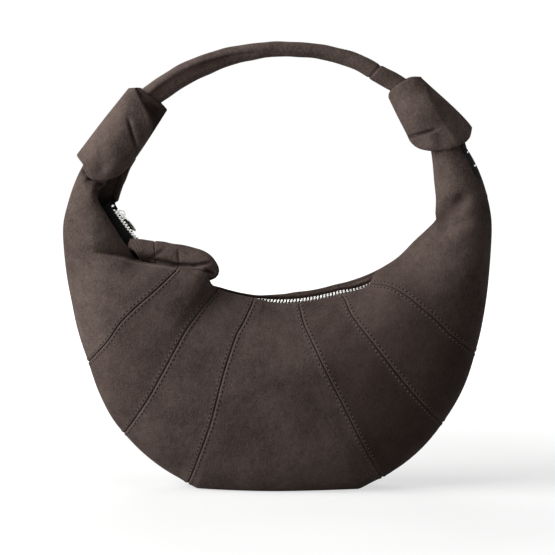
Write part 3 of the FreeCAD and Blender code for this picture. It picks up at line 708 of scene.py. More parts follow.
def panel_shape(sizes, side, number, across, shares):
    """One finished panel, counted from the left."""
    spread = np.linspace(panel_edges[number - 1] - bend_room, panel_edges[number] + bend_room,
                         bend_columns)
    smooth = soft_places(sizes, side, spread, shares)
    facing = outward_ways(sizes, side, spread, shares, smooth)
    starts, ends = (panel_edges[edge] + smooth_rows(seam_bends[edge], shares) * (side < 0)
                    for edge in (number - 1, number))
    turn_angle = starts[:, None] + (ends - starts)[:, None] * crowded(across)[None]
    points = resampled(smooth, spread, turn_angle)
    normal = unit(resampled(facing, spread, turn_angle))

    # An end of the bag has no seam, so it counts as a metre away from one.
    steps = np.linalg.norm(np.diff(points, axis=1), axis=-1)
    travelled = np.concatenate([np.zeros((len(shares), 1)), np.cumsum(steps, axis=1)], axis=1)
    left = travelled + (number == 1)
    right = travelled[:, -1:] - travelled + (number == panel_count)
    drop = np.linalg.norm(np.diff(points, axis=0), axis=-1)
    edge = np.concatenate([np.cumsum(drop[::-1], axis=0)[::-1], np.zeros((1, len(across)))])
    near = np.minimum(left, right)

    height = sizes.panel_puff * (1 - bump(left, puff_width)) * (1 - bump(right, puff_width))
    height *= (ease(*puff_start, shares) * (1 - ease(*edge_hold, shares)))[:, None]
    sewn = ease(*seam_start, shares)[:, None]
    height -= sizes.seam_depth * sewn * bump(near, sizes.seam_width)
    height += sizes.seam_welt * sewn * bump(near - welt_offset, welt_width)
    height -= sizes.stitch_width / 3 * sewn * bump(near - sizes.stitch_offset, stitch_dent)
    height -= sizes.seam_depth * bump(edge, sizes.seam_width)
    places = points + normal * height[..., None]
    places[..., 2] = np.maximum(places[..., 2], 0)

    outer = ease(hem_share, rim_share, shares)[:, None]
    creased = np.clip(-crease_field(sizes, points, front_creases) / dark_crease, 0, 1)
    column, below = below_ledge(sizes, points)
    ledge = smooth_rows(ledge_push_shares, column) * outer * (side < 0)
    above = np.exp(np.minimum(below, 0) / ledge_shade_fade) * (1 - ease(*ledge_shade_end, below))
    creased = np.maximum(creased, ledge_shade * ledge * above)
    spreading = ridge_spread * (below > 0) * np.exp(-below / ridge_fade)
    ridge = ledge * (bump(below - ridge_place, ridge_width) + spreading)
    reach = np.hypot(places[..., 0] - arc_centre.x, places[..., 2] - arc_centre.z)
    slit = ease(*hem_slit, reach - sizes.zip_radius - smooth_rows(zip_sags, turn_angle))
    return PanelShape(places, left, right, edge, creased * outer, slit, ridge)


def sewn_panel(sizes, side, number, across, shares):
    """Points of one panel, with masks of its dark seam lines and painted shade, and of its wear
    and painted highlights.
    """
    shape = panel_shape(sizes, side, number, across, shares)
    near = np.minimum(shape.left, shape.right)
    # Painted highlight on the lit side of each seam, where the leather is turned over.
    turned = bump(shape.left - turned_offset, turned_width)
    dark = seam_line * bump(shape.right, line_width)
    dark = np.maximum(dark, edge_line * bump(shape.edge, line_width))
    dark = np.maximum(dark, stitch_line * bump(near - sizes.stitch_offset, stitch_dent))
    rows = shares[:, None]
    if side < 0:
        # Painted shade of the front panels, partly the hide's own tone, lighter at the lip.
        shade = between(panel_shades[number - 1], across)[None]
        shade = shade * (lip_shade + (1 - lip_shade) * ease(rim_share, belly_share, rows))
        dark = np.maximum(dark, np.maximum(shade, shape.creased))
    dark = dark * (1 - turned_light * turned)
    hem = (1 - ease(hem_share, rim_share, rows)) * (side > 0)
    dark = np.maximum(dark, slit_shade * hem * shape.slit)
    wear_and_highlight = bump(near - rub_offset, rub_width) + turned_highlight * turned + ridge_light * shape.ridge
    # The "seam" mask: dark seam lines and painted shade. The other: wear and painted highlights.
    return shape.places, {"seam": dark, "wear_and_highlight": wear_and_highlight + hem_light * hem * (1 - shape.slit)}


def new_grid(name, grid, place, closed=False):
    """A grid set by place(across, along), which gives its points and its masks by name."""
    columns, rows = grid
    form = bmesh.new()
    bmesh.ops.create_grid(form, x_segments=columns, y_segments=rows, size=0.5)
    piece = finished_mesh(name, form)
    flat = np.empty(3 * (columns + 1) * (rows + 1), np.float32)
    piece.data.vertices.foreach_get("co", flat)
    flat = flat.reshape(rows + 1, columns + 1, 3) + 0.5
    places, masks = place(flat[0, :, 0].astype(float), flat[:, 0, 1].astype(float))
    piece.data.vertices.foreach_set("co", places.astype(np.float32).ravel())
    for title, values in masks.items():
        mask = piece.data.attributes.new(title, "FLOAT", "POINT")
        mask.data.foreach_set("value", np.ascontiguousarray(values, np.float32).ravel())
    if closed:
        form = bmesh.new()
        form.from_mesh(piece.data)
        bmesh.ops.remove_doubles(form, verts=form.verts, dist=1e-6)
        bmesh.ops.recalc_face_normals(form, faces=form.faces)
        form.to_mesh(piece.data)
        form.free()
        piece.data.shade_smooth()
    piece.data.update()
    return piece


def finished_mesh(name, form):
    """A smooth-shaded object from a bmesh, linked to the scene."""
    mesh = bpy.data.meshes.new(name)
    form.to_mesh(mesh)
    form.free()
    mesh.shade_smooth()
    piece = bpy.data.objects.new(name, mesh)
    bpy.context.scene.collection.objects.link(piece)
    return piece


def face_out(piece, outward):
    """Turns the faces round if their normals point away from outward."""
    total = sum((face.normal * face.area for face in piece.data.polygons), Vector())
    if total.dot(outward) < 0:
        piece.data.flip_normals()


def thicken(piece, thickness):
    """Gives a sheet its thickness, inwards from its outer face."""
    skin = piece.modifiers.new("thickness", "SOLIDIFY")
    skin.thickness = thickness
    skin.offset = -1


def dress(piece, body, slot, material, *nodes):
    """Gives a piece its finish, the body it rides on and the nodes it stands for."""
    piece.data.materials.append(material)
    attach(piece, body)
    if nodes:
        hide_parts(*nodes)
    return piece


# Leather wrapped round a horn's end, in a frame laid along the knot. Places are in the
# photograph's pixels, counted across and along the knot, and depths are in metres.
KnotShape = namedtuple(
    "KnotShape", "origin across along left right low high depths seat mouth bend")

left_knot = KnotShape(
    origin=(102.5, 172.5), across=np.array((0.849, -0.528)), along=np.array((0.528, 0.849)),
    left=((0, -30.6), (0.5, -26.6), (1, -21.6)), right=((0, 20.8), (0.5, 22.2), (1, 22.6)),
    low=((-1, 2.8), (-0.6, -0.3), (-0.34, -5.5), (-0.05, -8.0), (0.45, -2.3), (0.88, 10.4),
         (1, 20.6)),
    high=((-1, 84.9), (-0.52, 90.4), (0.3, 89.5), (1, 86.6)),
    depths=((0, 0.0245), (0.5, 0.0225), (1, 0.0165)), seat=1.0, mouth=0.0122, bend=88)
right_knot = KnotShape(
    origin=(446.5, 150.5), across=np.array((0.98, 0.196)), along=np.array((-0.196, 0.98)),
    left=((0, -36.5), (0.5, -42.2), (1, -47.3)), right=((0, 28.6), (0.1, 25.8), (1, -11.2)),
    low=((-1, 24.0), (-0.93, 16.0), (-0.8, 10.5), (-0.6, 7.0), (-0.35, 4.6), (0.1, 3.0),
         (0.66, 6.0), (0.86, 9.5), (1, 18.0)),
    high=((-1, 63.0), (-0.93, 66.5), (-0.6, 71.0), (-0.04, 75.1), (0.52, 77.3), (1, 76.0)),
    depths=((0, 0.0235), (0.5, 0.0205), (1, 0.0140)), seat=-31.0, mouth=0.0094, bend=76)

# The least that a fold leaves of a wrap's depth.
least_depth_share = 0.3

# Rows of a knot's wrap: place along the grid, share of its height, share of
# its inward turn at a rim, and share of its closing round the handle.
knot_rows = (
    (0.0, 0.0, 0.0, 0.0), (0.66, 1.0, 0.0, 0.0), (0.72, 1.0, 1.0, 0.0),
    (0.80, 0.955, 1.0, 1.0), (0.86, 0.85, 1.0, 1.0), (0.94, 0.0, 1.0, 0.0),
    (1.0, 0.0, 0.0, 0.0),
)

# The left wrap: the edge of its flap by place along, the ends of its crease with the shares
# over which it starts and ends, and its swells by place and width across, place and width
# along, and height in metres. Beside its crease, in pixels: the place and width of the
# swell, the width of the crease and the place and width of its shade. Then the shaded foot
# by place and width, across and along.
left_flap = ((40, 27), (54, 22), (66, 18.3), (73.6, 11.4), (87.6, -11.5), (94, -22))
left_crease = ((-6.0, 61.0), (17.0, 40.0))
left_crease_start, left_crease_end = (-0.15, 0.3), (0.8, 1.2)
left_crease_swell, left_crease_width, left_crease_line = (5.5, 5), 1.5, (-0.6, 1.8)
left_foot_across, left_foot_along = (-2, 7), (2, 8)
left_swells = ((-2, 6.5, 4, 8, -0.0030), (10, 6, 17, 10, 0.0016), (-17, 6, 12, 9, 0.0012))
# Waves of the wraps: height in metres, radians to the pixel across and along, and start.
left_wave, right_wave = (0.0009, 0.16, 0.05, 0.7), (0.0008, -0.07, 0.13, 1.0)


def wrap_wave(wave, across, along):
    """Slow unevenness of a wrap."""
    height, by_across, by_along, start = wave
    return height * np.sin(across * by_across + along * by_along + start)


def left_knot_relief(across, along):
    """Height in metres and shade of the left wrap's folds, by pixels across and along."""
    step, fall, crease, swell = 0.0056, 0.00045, 0.0028, 0.0013
    past = across - smooth_rows(left_flap, along)
    flap = 0.5 - 0.5 * np.tanh(past)
    height = (step + fall * np.maximum(past, 0)) * (flap - 1)
    share, aside = along_line(*left_crease, across, along)
    fade = ease(*left_crease_start, share) * (1 - ease(*left_crease_end, share))
    swelling = swell * bump_at(aside, *left_crease_swell)
    height += fade * (swelling - crease * bump(aside, left_crease_width))
    height += wrap_wave(left_wave, across, along)
    for place, wide, level, tall, rise in left_swells:
        height += rise * bump_at(across, place, wide) * bump_at(along, level, tall)
    # Painted shade under the flap, along the crease and at the foot of the wrap.
    flap_shade, crease_shade, foot_shade = 1.1, 0.6, 0.35
    shade = flap_shade * (1 - flap) + crease_shade * fade * bump_at(aside, *left_crease_line)
    foot = bump_at(across, *left_foot_across) * bump_at(along, *left_foot_along)
    return height, shade + foot_shade * foot


# The right wrap's slit, in pixels: a place across and the row there, its slope, and
# where it fades out across the wrap.
slit_across, slit_row, slit_slope = -20, 21.2, 0.11
slit_fade = (-16, -3)
# The softness of the step at the slit, and where the step starts along the wrap. Below the
# slit, place and width of its valley and of its shade. The dent under it: row in the middle,
# slope, width and where it starts across the wrap.
slit_softness, slit_step_start = 0.7, (-6, 10)
slit_valley, slit_line = (1.2, 1.7), (0.8, 1.5)
dent_row, dent_slope, dent_width, dent_start = 47, 0.45, 4.0, (-40, -20)


def right_knot_relief(across, along):
    """Height in metres and shade of the right wrap's folds, by pixels across and along."""
    step, valley, dent, slit_dark = 0.0032, 0.0030, 0.0010, 0.75
    below = along - (slit_row + slit_slope * (across - slit_across))
    fade = 1 - ease(*slit_fade, across)
    height = step * fade * (0.5 - 0.5 * np.tanh(below / slit_softness))
    height = height * ease(*slit_step_start, along)
    height -= valley * fade * bump_at(below, *slit_valley)
    height += wrap_wave(right_wave, across, along)
    dented = bump(along - dent_row + dent_slope * across, dent_width)
    height -= dent * dented * ease(*dent_start, across)
    # Painted shade in the valley below the slit.
    return height, slit_dark * fade * bump_at(below, *slit_line)


# The crease of the right wrap's front: share of its half width, by share of its height.
facet_crease = ((0, 0.42), (0.3, 0.36), (0.6, 0.45), (1.0, 0.95))
# Where relief and shade start on the front of a wrap, and where its lower rim starts.
relief_front, shade_front = (0, 0.35), (-0.1, 0.2)
lower_rim = 0.9


def rounded_front(ratio, tall):
    """Depth of a plain wrap's front as a share, by place across its width."""
    return np.sqrt(np.maximum(1 - ratio ** 2, 0)) ** 0.85


def faceted_front(ratio, tall):
    """Front of a wrap that turns away along a crease on its right."""
    softness, steepness, facet_part = 0.02, 0.9, 0.6
    crease = smooth_rows(facet_crease, tall)
    right = np.maximum(ratio - crease, 0) / (1.02 - crease)
    left = np.maximum(crease - ratio, 0) / (1 + crease)
    facet = 1 - steepness * (np.sqrt(right ** 2 + softness) - math.sqrt(softness)) - left ** 2.8
    rounded = np.sqrt(np.maximum(1 - ratio ** 2, 0))
    mixed = facet_part * np.maximum(facet, 0) + (1 - facet_part) * rounded
    return np.minimum(mixed, rounded ** 0.5)


def knot_places(sizes, knot, relief, front, around, along):
    """Points and shade of a wrap, closed round the horn and turned in at both rims."""
    pixel, wall = sizes.photo_pixel, sizes.knot_wall
    rows = np.array(knot_rows)
    height, turned, closing = (np.interp(along, rows[:, 0], rows[:, k]) for k in (1, 2, 3))
    close = ease(0, 1, closing)[:, None]
    lift = np.where(along > lower_rim, -wall, wall) * np.sin(math.pi * np.clip(turned, 0, 1))
    inset = (wall * (1 - np.cos(math.pi * turned)))[:, None]
    turn = around * 2 * math.pi
    ratio, way = np.cos(turn)[None], np.sin(turn)[None]
    circle = np.sqrt(1 - ratio ** 2)
    tall = height[:, None]
    low, high = (smooth_rows(edge, np.cos(turn))[None] for edge in (knot.low, knot.high))
    upward = low + (high - low) * tall
    left, right, depth = (smooth_rows(edge, height)[:, None]
                          for edge in (knot.left, knot.right, knot.depths))
    middle, half = (left + right) / 2, (right - left) / 2
    raised, shade = relief(middle + half * ratio, upward)
    raised = raised * ease(*relief_front, way) * (1 - turned[:, None])
    shade = np.clip(shade, 0, 1) * ease(*shade_front, way)
    shape = np.where(way > 0, front(ratio, tall), circle) * (1 - close) + circle * close
    half_width = (half * pixel - inset) * (1 - close) + knot.mouth * close
    half_depth = (depth - inset) * (1 - close) + knot.mouth * close
    flat_x = (middle * (1 - close) + knot.seat * close) * pixel + half_width * ratio
    flat_z = upward * pixel + lift[:, None]
    out = np.maximum(half_depth * shape + raised, half_depth * shape * least_depth_share)
    origin = on_photo(sizes, *knot.origin)
    x, z = (origin[axis] + flat_x * knot.across[axis] + flat_z * knot.along[axis]
            for axis in (0, 1))
    # The shade goes to the "seam" mask as painted shade.
    return np.stack([x, np.where(way > 0, -out, out), z], -1), {"seam": shade}


class Nodes:
    """Shorthand for building the node tree of a finish, a group or the world."""

    def __init__(self, tree):
        self.nodes, self.links = tree.nodes, tree.links

    def put(self, value, socket):
        """Links a value to a socket, or sets it there."""
        if isinstance(value, bpy.types.NodeSocket):
            self.links.new(value, socket)
        else:
            socket.default_value = (*value, 1) if socket.type == "RGBA" else value

    def fill(self, node, inputs):
        for name, value in inputs.items():
            self.put(value, node.inputs[name])

    def add(self, kind, inputs=None, **settings):
        """A new node with its settings, its inputs linked or set."""
        node = self.nodes.new("ShaderNode" + kind)
        for name, value in settings.items():
            setattr(node, name, value)
        self.fill(node, inputs or {})
        return node

    def place(self):
        return self.add("TexCoord").outputs["Object"]

    def mix(self, factor, first, second):
        inputs = {"Factor": factor, 6: first, 7: second}
        return self.add("Mix", inputs, data_type="RGBA").outputs[2]

    def noise(self, place, scale, detail, roughness=0.55):
        inputs = {"Vector": place, "Scale": scale, "Detail": detail, "Roughness": roughness}
        return self.add("TexNoise", inputs).outputs["Fac"]

    def span(self, value, low, high, to_low=0.0, to_high=1.0):
        inputs = {"Value": value, "From Min": low, "From Max": high,
                  "To Min": to_low, "To Max": to_high}
        return self.add("MapRange", inputs).outputs["Result"]

    def math(self, operation, first, second):
        return self.add("Math", {0: first, 1: second}, operation=operation).outputs[0]

    def bump(self, height, strength, distance):
        inputs = {"Height": height, "Strength": strength, "Distance": distance}
        return self.add("Bump", inputs).outputs["Normal"]


def new_group(name, inputs, outputs):
    """A new node group with the sockets named, its shorthand and its two ends."""
    group = bpy.data.node_groups.new(name, "ShaderNodeTree")
    for way, sockets in (("INPUT", inputs), ("OUTPUT", outputs)):
        for title, kind in sockets:
            group.interface.new_socket(title, in_out=way, socket_type="NodeSocket" + kind)
    tree = Nodes(group)
    entry, leave = (group.nodes.new("NodeGroup" + way) for way in ("Input", "Output"))
    return group, tree, entry.outputs, leave


# Noises of the nubuck: scale, detail and roughness. Then how strongly they and the masks
# colour the leather: wear and painted highlights towards the worn tone, dark seam lines and
# painted shade towards the seam shadow's colour.
cloud_noise, brushed_noise, fleck_noise = (24, 6, 0.62), (70, 5, 0.6), (210, 4, 0.6)
nap_noise, soft_noise, pore_scale = (620, 3, 0.65), (130, 3, 0.55), 520
brushed_strength, fleck_strength, speck_strength = 0.30, 0.42, 0.52
wear_and_highlight_strength, shadow_strength = 0.16, 0.75
seam_shadow = (0.022, 0.0125, 0.0105)


def nubuck_group():
    """Clouded colour, fine nap and pores of brushed leather, with the painted shade and
    highlights of its masks.
    """
    name = "nubuck"
    if name in bpy.data.node_groups:
        return bpy.data.node_groups[name]
    group, tree, entry, leave = new_group(
        name,
        (("Tone", "Color"), ("Deep", "Color"), ("Worn", "Color"), ("Seam", "Float"),
         ("Rubbed", "Float")),
        (("Color", "Color"), ("Roughness", "Float"), ("Height", "Float")))
    place = tree.place()
    clouds = tree.span(tree.noise(place, *cloud_noise), 0.36, 0.64)
    brushed = tree.span(tree.noise(place, *brushed_noise), 0.36, 0.70)
    flecks = tree.span(tree.noise(place, *fleck_noise), 0.42, 0.66, 0.0, fleck_strength)
    nap = tree.noise(place, *nap_noise)
    specks = tree.span(nap, 0.40, 0.70, 0.0, speck_strength)
    pores = tree.add("TexVoronoi", {"Vector": place, "Scale": pore_scale}).outputs["Distance"]
    tone = entry["Deep"]
    for share, over in (
        (clouds, "Tone"), (tree.math("MULTIPLY", brushed, brushed_strength), "Worn"),
        (flecks, "Deep"), (specks, "Worn"),
        (tree.math("MULTIPLY", entry["Rubbed"], wear_and_highlight_strength), "Worn"),
    ):
        tone = tree.mix(share, tone, entry[over])
    # Dark seam lines and painted shade, from the "Seam" mask.
    tone = tree.mix(tree.math("MULTIPLY", entry["Seam"], shadow_strength), tone, seam_shadow)
    grain = tree.math("ADD", tree.math("MULTIPLY", pores, 0.5), nap)
    soft = tree.math("MULTIPLY", tree.noise(place, *soft_noise), 2.0)
    tree.fill(leave, {"Color": tone, "Roughness": tree.span(brushed, 0, 1, 0.92, 0.80),
                      "Height": tree.math("ADD", grain, soft)})
    return group


def weave_group():
    """Crossing threads of a woven cloth, as a height and a painted highlight on the raised
    threads.
    """
    name = "weave"
    if name in bpy.data.node_groups:
        return bpy.data.node_groups[name]
    group, tree, entry, leave = new_group(
        name, (("Scale", "Float"),), (("Height", "Float"), ("Thread_highlight", "Float")))
    place = tree.place()
    waves = {"Vector": place, "Scale": entry["Scale"], "Distortion": 0.6}
    rows = [tree.add("TexWave", waves, bands_direction=way).outputs["Fac"] for way in ("X", "Z")]
    height = tree.math("MAXIMUM", *rows)
    fuzz = tree.noise(place, 400, 2)
    tree.fill(leave, {"Height": height, "Thread_highlight": tree.math("MULTIPLY", height, fuzz)})
    return group


def new_material(name):
    """A new material, with the shorthand for its nodes and its shader."""
    material = bpy.data.materials.new(name)
    material.use_nodes = True
    tree = Nodes(material.node_tree)
    return material, tree, tree.nodes["Principled BSDF"]


def leather_finish(colours):
    name = "nubuck leather"
    if name in bpy.data.materials:
        return bpy.data.materials[name]
    material, tree, shader = new_material(name)
    # The "seam" mask holds dark seam lines and painted shade.
    seam, wear_and_highlight = (tree.add("Attribute", attribute_name=mask).outputs["Fac"]
                    for mask in ("seam", "wear_and_highlight"))
    nubuck = tree.add("Group", {
        "Tone": colours.leather, "Deep": colours.leather_deep, "Worn": colours.leather_worn_and_lit,
        "Seam": seam, "Rubbed": wear_and_highlight}, node_tree=nubuck_group()).outputs
    tree.fill(shader, {
        "Base Color": nubuck["Color"], "Roughness": nubuck["Roughness"],
        "Normal": tree.bump(nubuck["Height"], 0.6, 0.0007), "Specular IOR Level": 0.05,
        "Sheen Weight": 0.02, "Sheen Roughness": 0.6, "Sheen Tint": (0.75, 0.64, 0.58)})
    return material


def woven_finish(name, tone, light, scale, depth):
    """A cloth whose raised threads are painted lighter as a highlight, with a weave of a given
    scale and depth.
    """
    if name in bpy.data.materials:
        return bpy.data.materials[name]
    material, tree, shader = new_material(name)
    weave = tree.add("Group", node_tree=weave_group())
    weave.inputs["Scale"].default_value = scale
    tree.fill(shader, {
        "Base Color": tree.mix(weave.outputs["Thread_highlight"], tone, light),
        "Normal": tree.bump(weave.outputs["Height"], 0.6, depth),
        "Roughness": 0.85, "Specular IOR Level": 0.1})
    return material


def scaled(tone, times):
    """A colour so many times as bright."""
    return [value * times for value in tone]


def thread_finish(colours):
    light = scaled(colours.thread, 1.35)
    return woven_finish("stitching thread", colours.thread, light, 900, 0.0002)


# Near-black grains that paint the shade inside the needle holes.
def hole_shade_finish(colours):
    return woven_finish("stitch holes", colours.hole, colours.leather_deep, 900, 0.0002)


def tape_finish(colours):
    return woven_finish("woven zip tape", colours.tape, (0.018, 0.018, 0.019), 420, 0.0003)


def lining_finish(colours):
    return woven_finish("cotton lining", colours.lining, scaled(colours.lining, 1.6), 330, 0.0003)


def core_finish(colours):
    return woven_finish("soft cord", colours.core, scaled(colours.core, 1.2), 200, 0.0006)


def metal_finish(colours):
    name = "bright nickel"
    if name in bpy.data.materials:
        return bpy.data.materials[name]
    material, tree, shader = new_material(name)
    place = tree.place()
    smear = tree.noise(place, 260, 3)
    dull = scaled(colours.metal, 0.8)
    tree.fill(shader, {
        "Metallic": 1, "Roughness": tree.span(smear, 0.3, 0.7, 0.16, 0.34),
        "Base Color": tree.mix(tree.span(smear, 0.4, 0.8), colours.metal, dull),
        "Normal": tree.bump(tree.noise(place, 1500, 2), 0.08, 0.0001)})
    return material


class HALFMOON_OT_leather_panels(bpy.types.Operator):
    """Sew the seven wedges of the front and the seven of the back"""

    bl_idname = "halfmoon.leather_panels"
    bl_label = "Leather panels"

    def execute(self, context):
        sizes, colours = context.scene.bag_sizes, context.scene.bag_colours
        for title, side in sides:
            for number in range(1, panel_count + 1):
                grid = end_panel_grid if number in (1, panel_count) else panel_grid
                piece = new_grid("leather_%s_%d" % (title, number), grid,
                                 partial(sewn_panel, sizes, side, number))
                face_out(piece, Vector((0, side, 0)))
                thicken(piece, sizes.leather)
                dress(piece, "bag", "leather", leather_finish(colours),
                      "%s_panel_%d" % (title, number))
        return {"FINISHED"}


def spaced(line, pitch, start):
    """Places at an even pitch on a line from a share of it, with the way that the line runs."""
    steps = np.linalg.norm(np.diff(line, axis=0), axis=-1)
    reach = np.concatenate([[0], np.cumsum(steps)])
    stops = np.arange(pitch * start, reach[-1], pitch)
    places, ahead = (resampled(line[None], reach, stops[None] + more)[0]
                     for more in (0, pitch / 4))
    return places, ahead - places


def stitch_row(form, line, shape, pitch, start):
    """Adds a row of small grains of a given shape along a line."""
    seam = bmesh.new()
    for spot, way in zip(*spaced(line, pitch, start)):
        turn = Vector(way).to_track_quat("Z", "Y").to_matrix().to_4x4()
        bmesh.ops.create_uvsphere(seam, u_segments=6, v_segments=4, radius=1,
                                  matrix=Matrix.Translation(spot) @ turn @ shape)
    mesh = bpy.data.meshes.new("stitch_row")
    seam.to_mesh(mesh)
    seam.free()
    form.from_mesh(mesh)
    bpy.data.meshes.remove(mesh)


class HALFMOON_OT_stitching(bpy.types.Operator):
    """Lay a row of stitches on each side of every seam"""

    bl_idname = "halfmoon.stitching"
    bl_label = "Seam stitching"

    def execute(self, context):
        sizes, colours = context.scene.bag_sizes, context.scene.bag_colours
        across, shares = (np.linspace(0, 1, count + 1) for count in panel_grid)
        kept = (shares > rim_share) & (shares < stitch_end)
        offset = np.full((np.count_nonzero(kept), 1), sizes.stitch_offset)
        grains = (
            ("stitching_", thread_finish, sizes.stitch_width, sizes.stitch_length, 0.5),
            # Then near-black grains that paint the shade inside the needle holes.
            ("stitch_hole_shade_", hole_shade_finish, sizes.hole_width, sizes.hole_length, 1.0),
        )
        for title, side in sides:
            lines = []
            for number in range(1, panel_count + 1):
                panel = panel_shape(sizes, side, number, across, shares)
                if number > 1:
                    lines.append(resampled(panel.places[kept], panel.left[kept], offset)[:, 0])
                if number < panel_count:
                    lines.append(resampled(panel.places[kept][:, ::-1], panel.right[kept][:, ::-1],
                                           offset)[:, 0])
            for name, finish, wide, long, start in grains:
                form = bmesh.new()
                shape = Matrix.Diagonal((wide / 2, wide / 2, long / 2, 1))
                for line in lines:
                    stitch_row(form, line, shape, sizes.stitch_pitch, start)
                dress(finished_mesh(name + title, form), "bag", "leather", finish(colours))
        return {"FINISHED"}


def lining_places(sizes, side, across, along):
    """Points of one half of the lining, inside the leather and clear of the floor."""
    turn_angle, shares = between(zip_angles, across), between(lining_shares, along)
    points = soft_places(sizes, side, turn_angle, shares)
    places = points - outward_ways(sizes, side, turn_angle, shares, points) * sizes.lining_gap
    places[..., 2] = np.maximum(places[..., 2], sizes.lining_gap)
    return places, {}


class HALFMOON_OT_lining(bpy.types.Operator):
    """Line the front and the back with cotton"""

    bl_idname = "halfmoon.lining"
    bl_label = "Lining"

    def execute(self, context):
        sizes, colours = context.scene.bag_sizes, context.scene.bag_colours
        for title, side in sides:
            piece = new_grid("cotton_" + title, lining_grid, partial(lining_places, sizes, side))
            face_out(piece, Vector((0, -side, 0)))
            dress(piece, "bag", "lining", lining_finish(colours), "lining_" + title)
        return {"FINISHED"}


# The folded stretch of the front lip: place along it, then column, row and
# half height in the photograph's pixels, and the depth of its middle in metres.
fold_rows = (
    (0.0, 127.0, 250.5, 12.5, -0.0125), (0.14, 140.0, 251.5, 12.5, -0.0140),
    (0.31, 155.0, 253.5, 12.5, -0.0140), (0.47, 170.0, 256.5, 13.5, -0.0140),
    (0.63, 185.0, 260.0, 14.5, -0.0140), (0.80, 200.0, 266.0, 15.0, -0.0140),
    (0.93, 210.0, 270.5, 14.5, -0.0140), (1.0, 218.5, 274.5, 13.5, -0.0140),
)

# Creases of the folded lip, in the same terms as those of the front, and how much painted
# shade darkens them.
roll_creases = (
    ((155.0, 260.0), (177.0, 264.8), 0.0030, 0.0, 1.7),
    ((177.0, 264.8), (197.0, 265.2), 0.0036, 0.0, 1.7),
    ((196.0, 265.2), (211.0, 262.5), 0.0036, 0.0, 1.6),
    ((207.0, 270.5), (215.0, 273.5), 0.0036, 0.0008, 1.4),
    ((207.0, 280.0), (213.0, 277.5), 0.0030, 0.0, 1.4),
    ((178.0, 253.0), (179.5, 264.0), 0.0012, 0.0, 1.4),
    ((153.0, 257.0), (166.0, 249.0), 0.0012, 0.0006, 2.0),
)
roll_darkness, roll_darkest = 3, 0.8
# Where its ends start to round off, its half depth at a half height of so many pixels,
# and the power that flattens its front.
fold_ends = (0.05, 0.83)
fold_half_depth, fold_half_height, fold_flatness = 0.0085, 13, 0.9
# Depths of its pleats, its two seams, its end's crease and the crease under it, in metres.
fold_pleat, fold_seam, fold_second_seam = 0.0004, 0.0009, 0.0010
fold_crease, fold_under = 0.0016, 0.0012
# Its pleats: radians along the fold and up it, and where they fade out. Its seams: place
# along the fold and width, and where the second one shows below the middle.
pleat_turns, pleat_fade = (170, 2.5), (0.05, 0.17)
fold_seam_place, fold_second_seam_place = (0.285, 0.008), (0.58, 0.01)
second_seam_fade = (0, -0.7)
# Its two creases: height on the front, from -1 to 1, and width. The end's crease has a
# slope from a place along the fold. Then where each one starts, and where one ends.
fold_crease_place, fold_crease_slope, fold_crease_start = (-0.35, 0.12), (1.6, 0.8), (0.70, 0.82)
fold_under_place, fold_under_start, fold_under_end = (-0.45, 0.16), (0.28, 0.34), (0.6, 0.8)
# Its waves: height, radians along the fold and turns round it.
fold_waves = ((0.0003, 17, 1), (0.0002, 31, -2))
# Where its creases show on its front, those under it and those that the camera sees.
fold_front, roll_front = (-0.2, 0.4), (-0.1, 0.3)
# How far the foot of its left end stands to the right of its top and over which stretch,
# and the painted shade on the underside of that end, with where it fades along the fold and
# up it.
fold_lean, fold_lean_run = 0.0125, (0, 0.5)
fold_shade, fold_shade_end, fold_shade_top = 1.25, (0.14, 0.30), (0.25, -0.5)


def fold_places(sizes, around, along):
    """Points and shade of the folded lip, a soft roll with pleats at its left end."""
    rows = np.array(fold_rows)
    column, row, half, depth = (smooth_rows(rows[:, (0, k)], along) for k in (1, 2, 3, 4))
    x, z = seen_at(sizes, column, row, depth)
    run = unit(np.stack([np.gradient(x), np.gradient(z)], -1))
    left_end, right_end = fold_ends
    rounding = np.sqrt(np.clip(1 - (1 - np.clip(along / left_end, 0, 1)) ** 2, 0, 1))
    rounding *= np.sqrt(1 - np.clip((along - right_end) / (1 - right_end), 0, 1) ** 2)
    turn = around[None] * 2 * math.pi
    front, upward = np.cos(turn), np.sin(turn)
    place = along[:, None]
    seen = ease(*fold_front, front)
    more = fold_pleat * np.sin(place * pleat_turns[0] + pleat_turns[1] * upward)
    more = more * (1 - ease(*pleat_fade, place))
    more = more - fold_seam * bump_at(place, *fold_seam_place)
    second = bump_at(place, *fold_second_seam_place) * ease(*second_seam_fade, upward)
    more = more - fold_second_seam * second
    level, wide = fold_crease_place
    slope, slope_start = fold_crease_slope
    crease = bump_at(upward, level + slope * (place - slope_start), wide)
    more = more - fold_crease * seen * crease * ease(*fold_crease_start, place)
    middle_part = ease(*fold_under_start, place) * (1 - ease(*fold_under_end, place))
    more = more - fold_under * seen * bump_at(upward, *fold_under_place) * middle_part
    more = more + rolling(fold_waves, place, turn)
    more = more * rounding[:, None]
    thick = fold_half_depth * (half / fold_half_height * rounding)[:, None]
    out = np.sign(front) * np.abs(front) ** fold_flatness * (thick + more)
    rise = upward * ((half * sizes.photo_pixel * rounding)[:, None] + more)
    lean = fold_lean * (1 - upward) / 2 * (1 - ease(*fold_lean_run, place))
    places = np.stack([x[:, None] - run[:, 1:] * rise + lean, depth[:, None] - out,
                       z[:, None] + run[:, :1] * rise], -1)
    creased = crease_field(sizes, places, roll_creases) * ease(*roll_front, front)
    places[..., 1] -= creased
    tucked_shade = fold_shade * (1 - ease(*fold_shade_end, place)) * ease(*fold_shade_top, upward)
    dark = np.clip(-creased / dark_crease * roll_darkness, 0, roll_darkest)
    # The "seam" mask holds the painted shade of its creases and of its left end.
    return places, {"seam": np.maximum(dark, tucked_shade)}


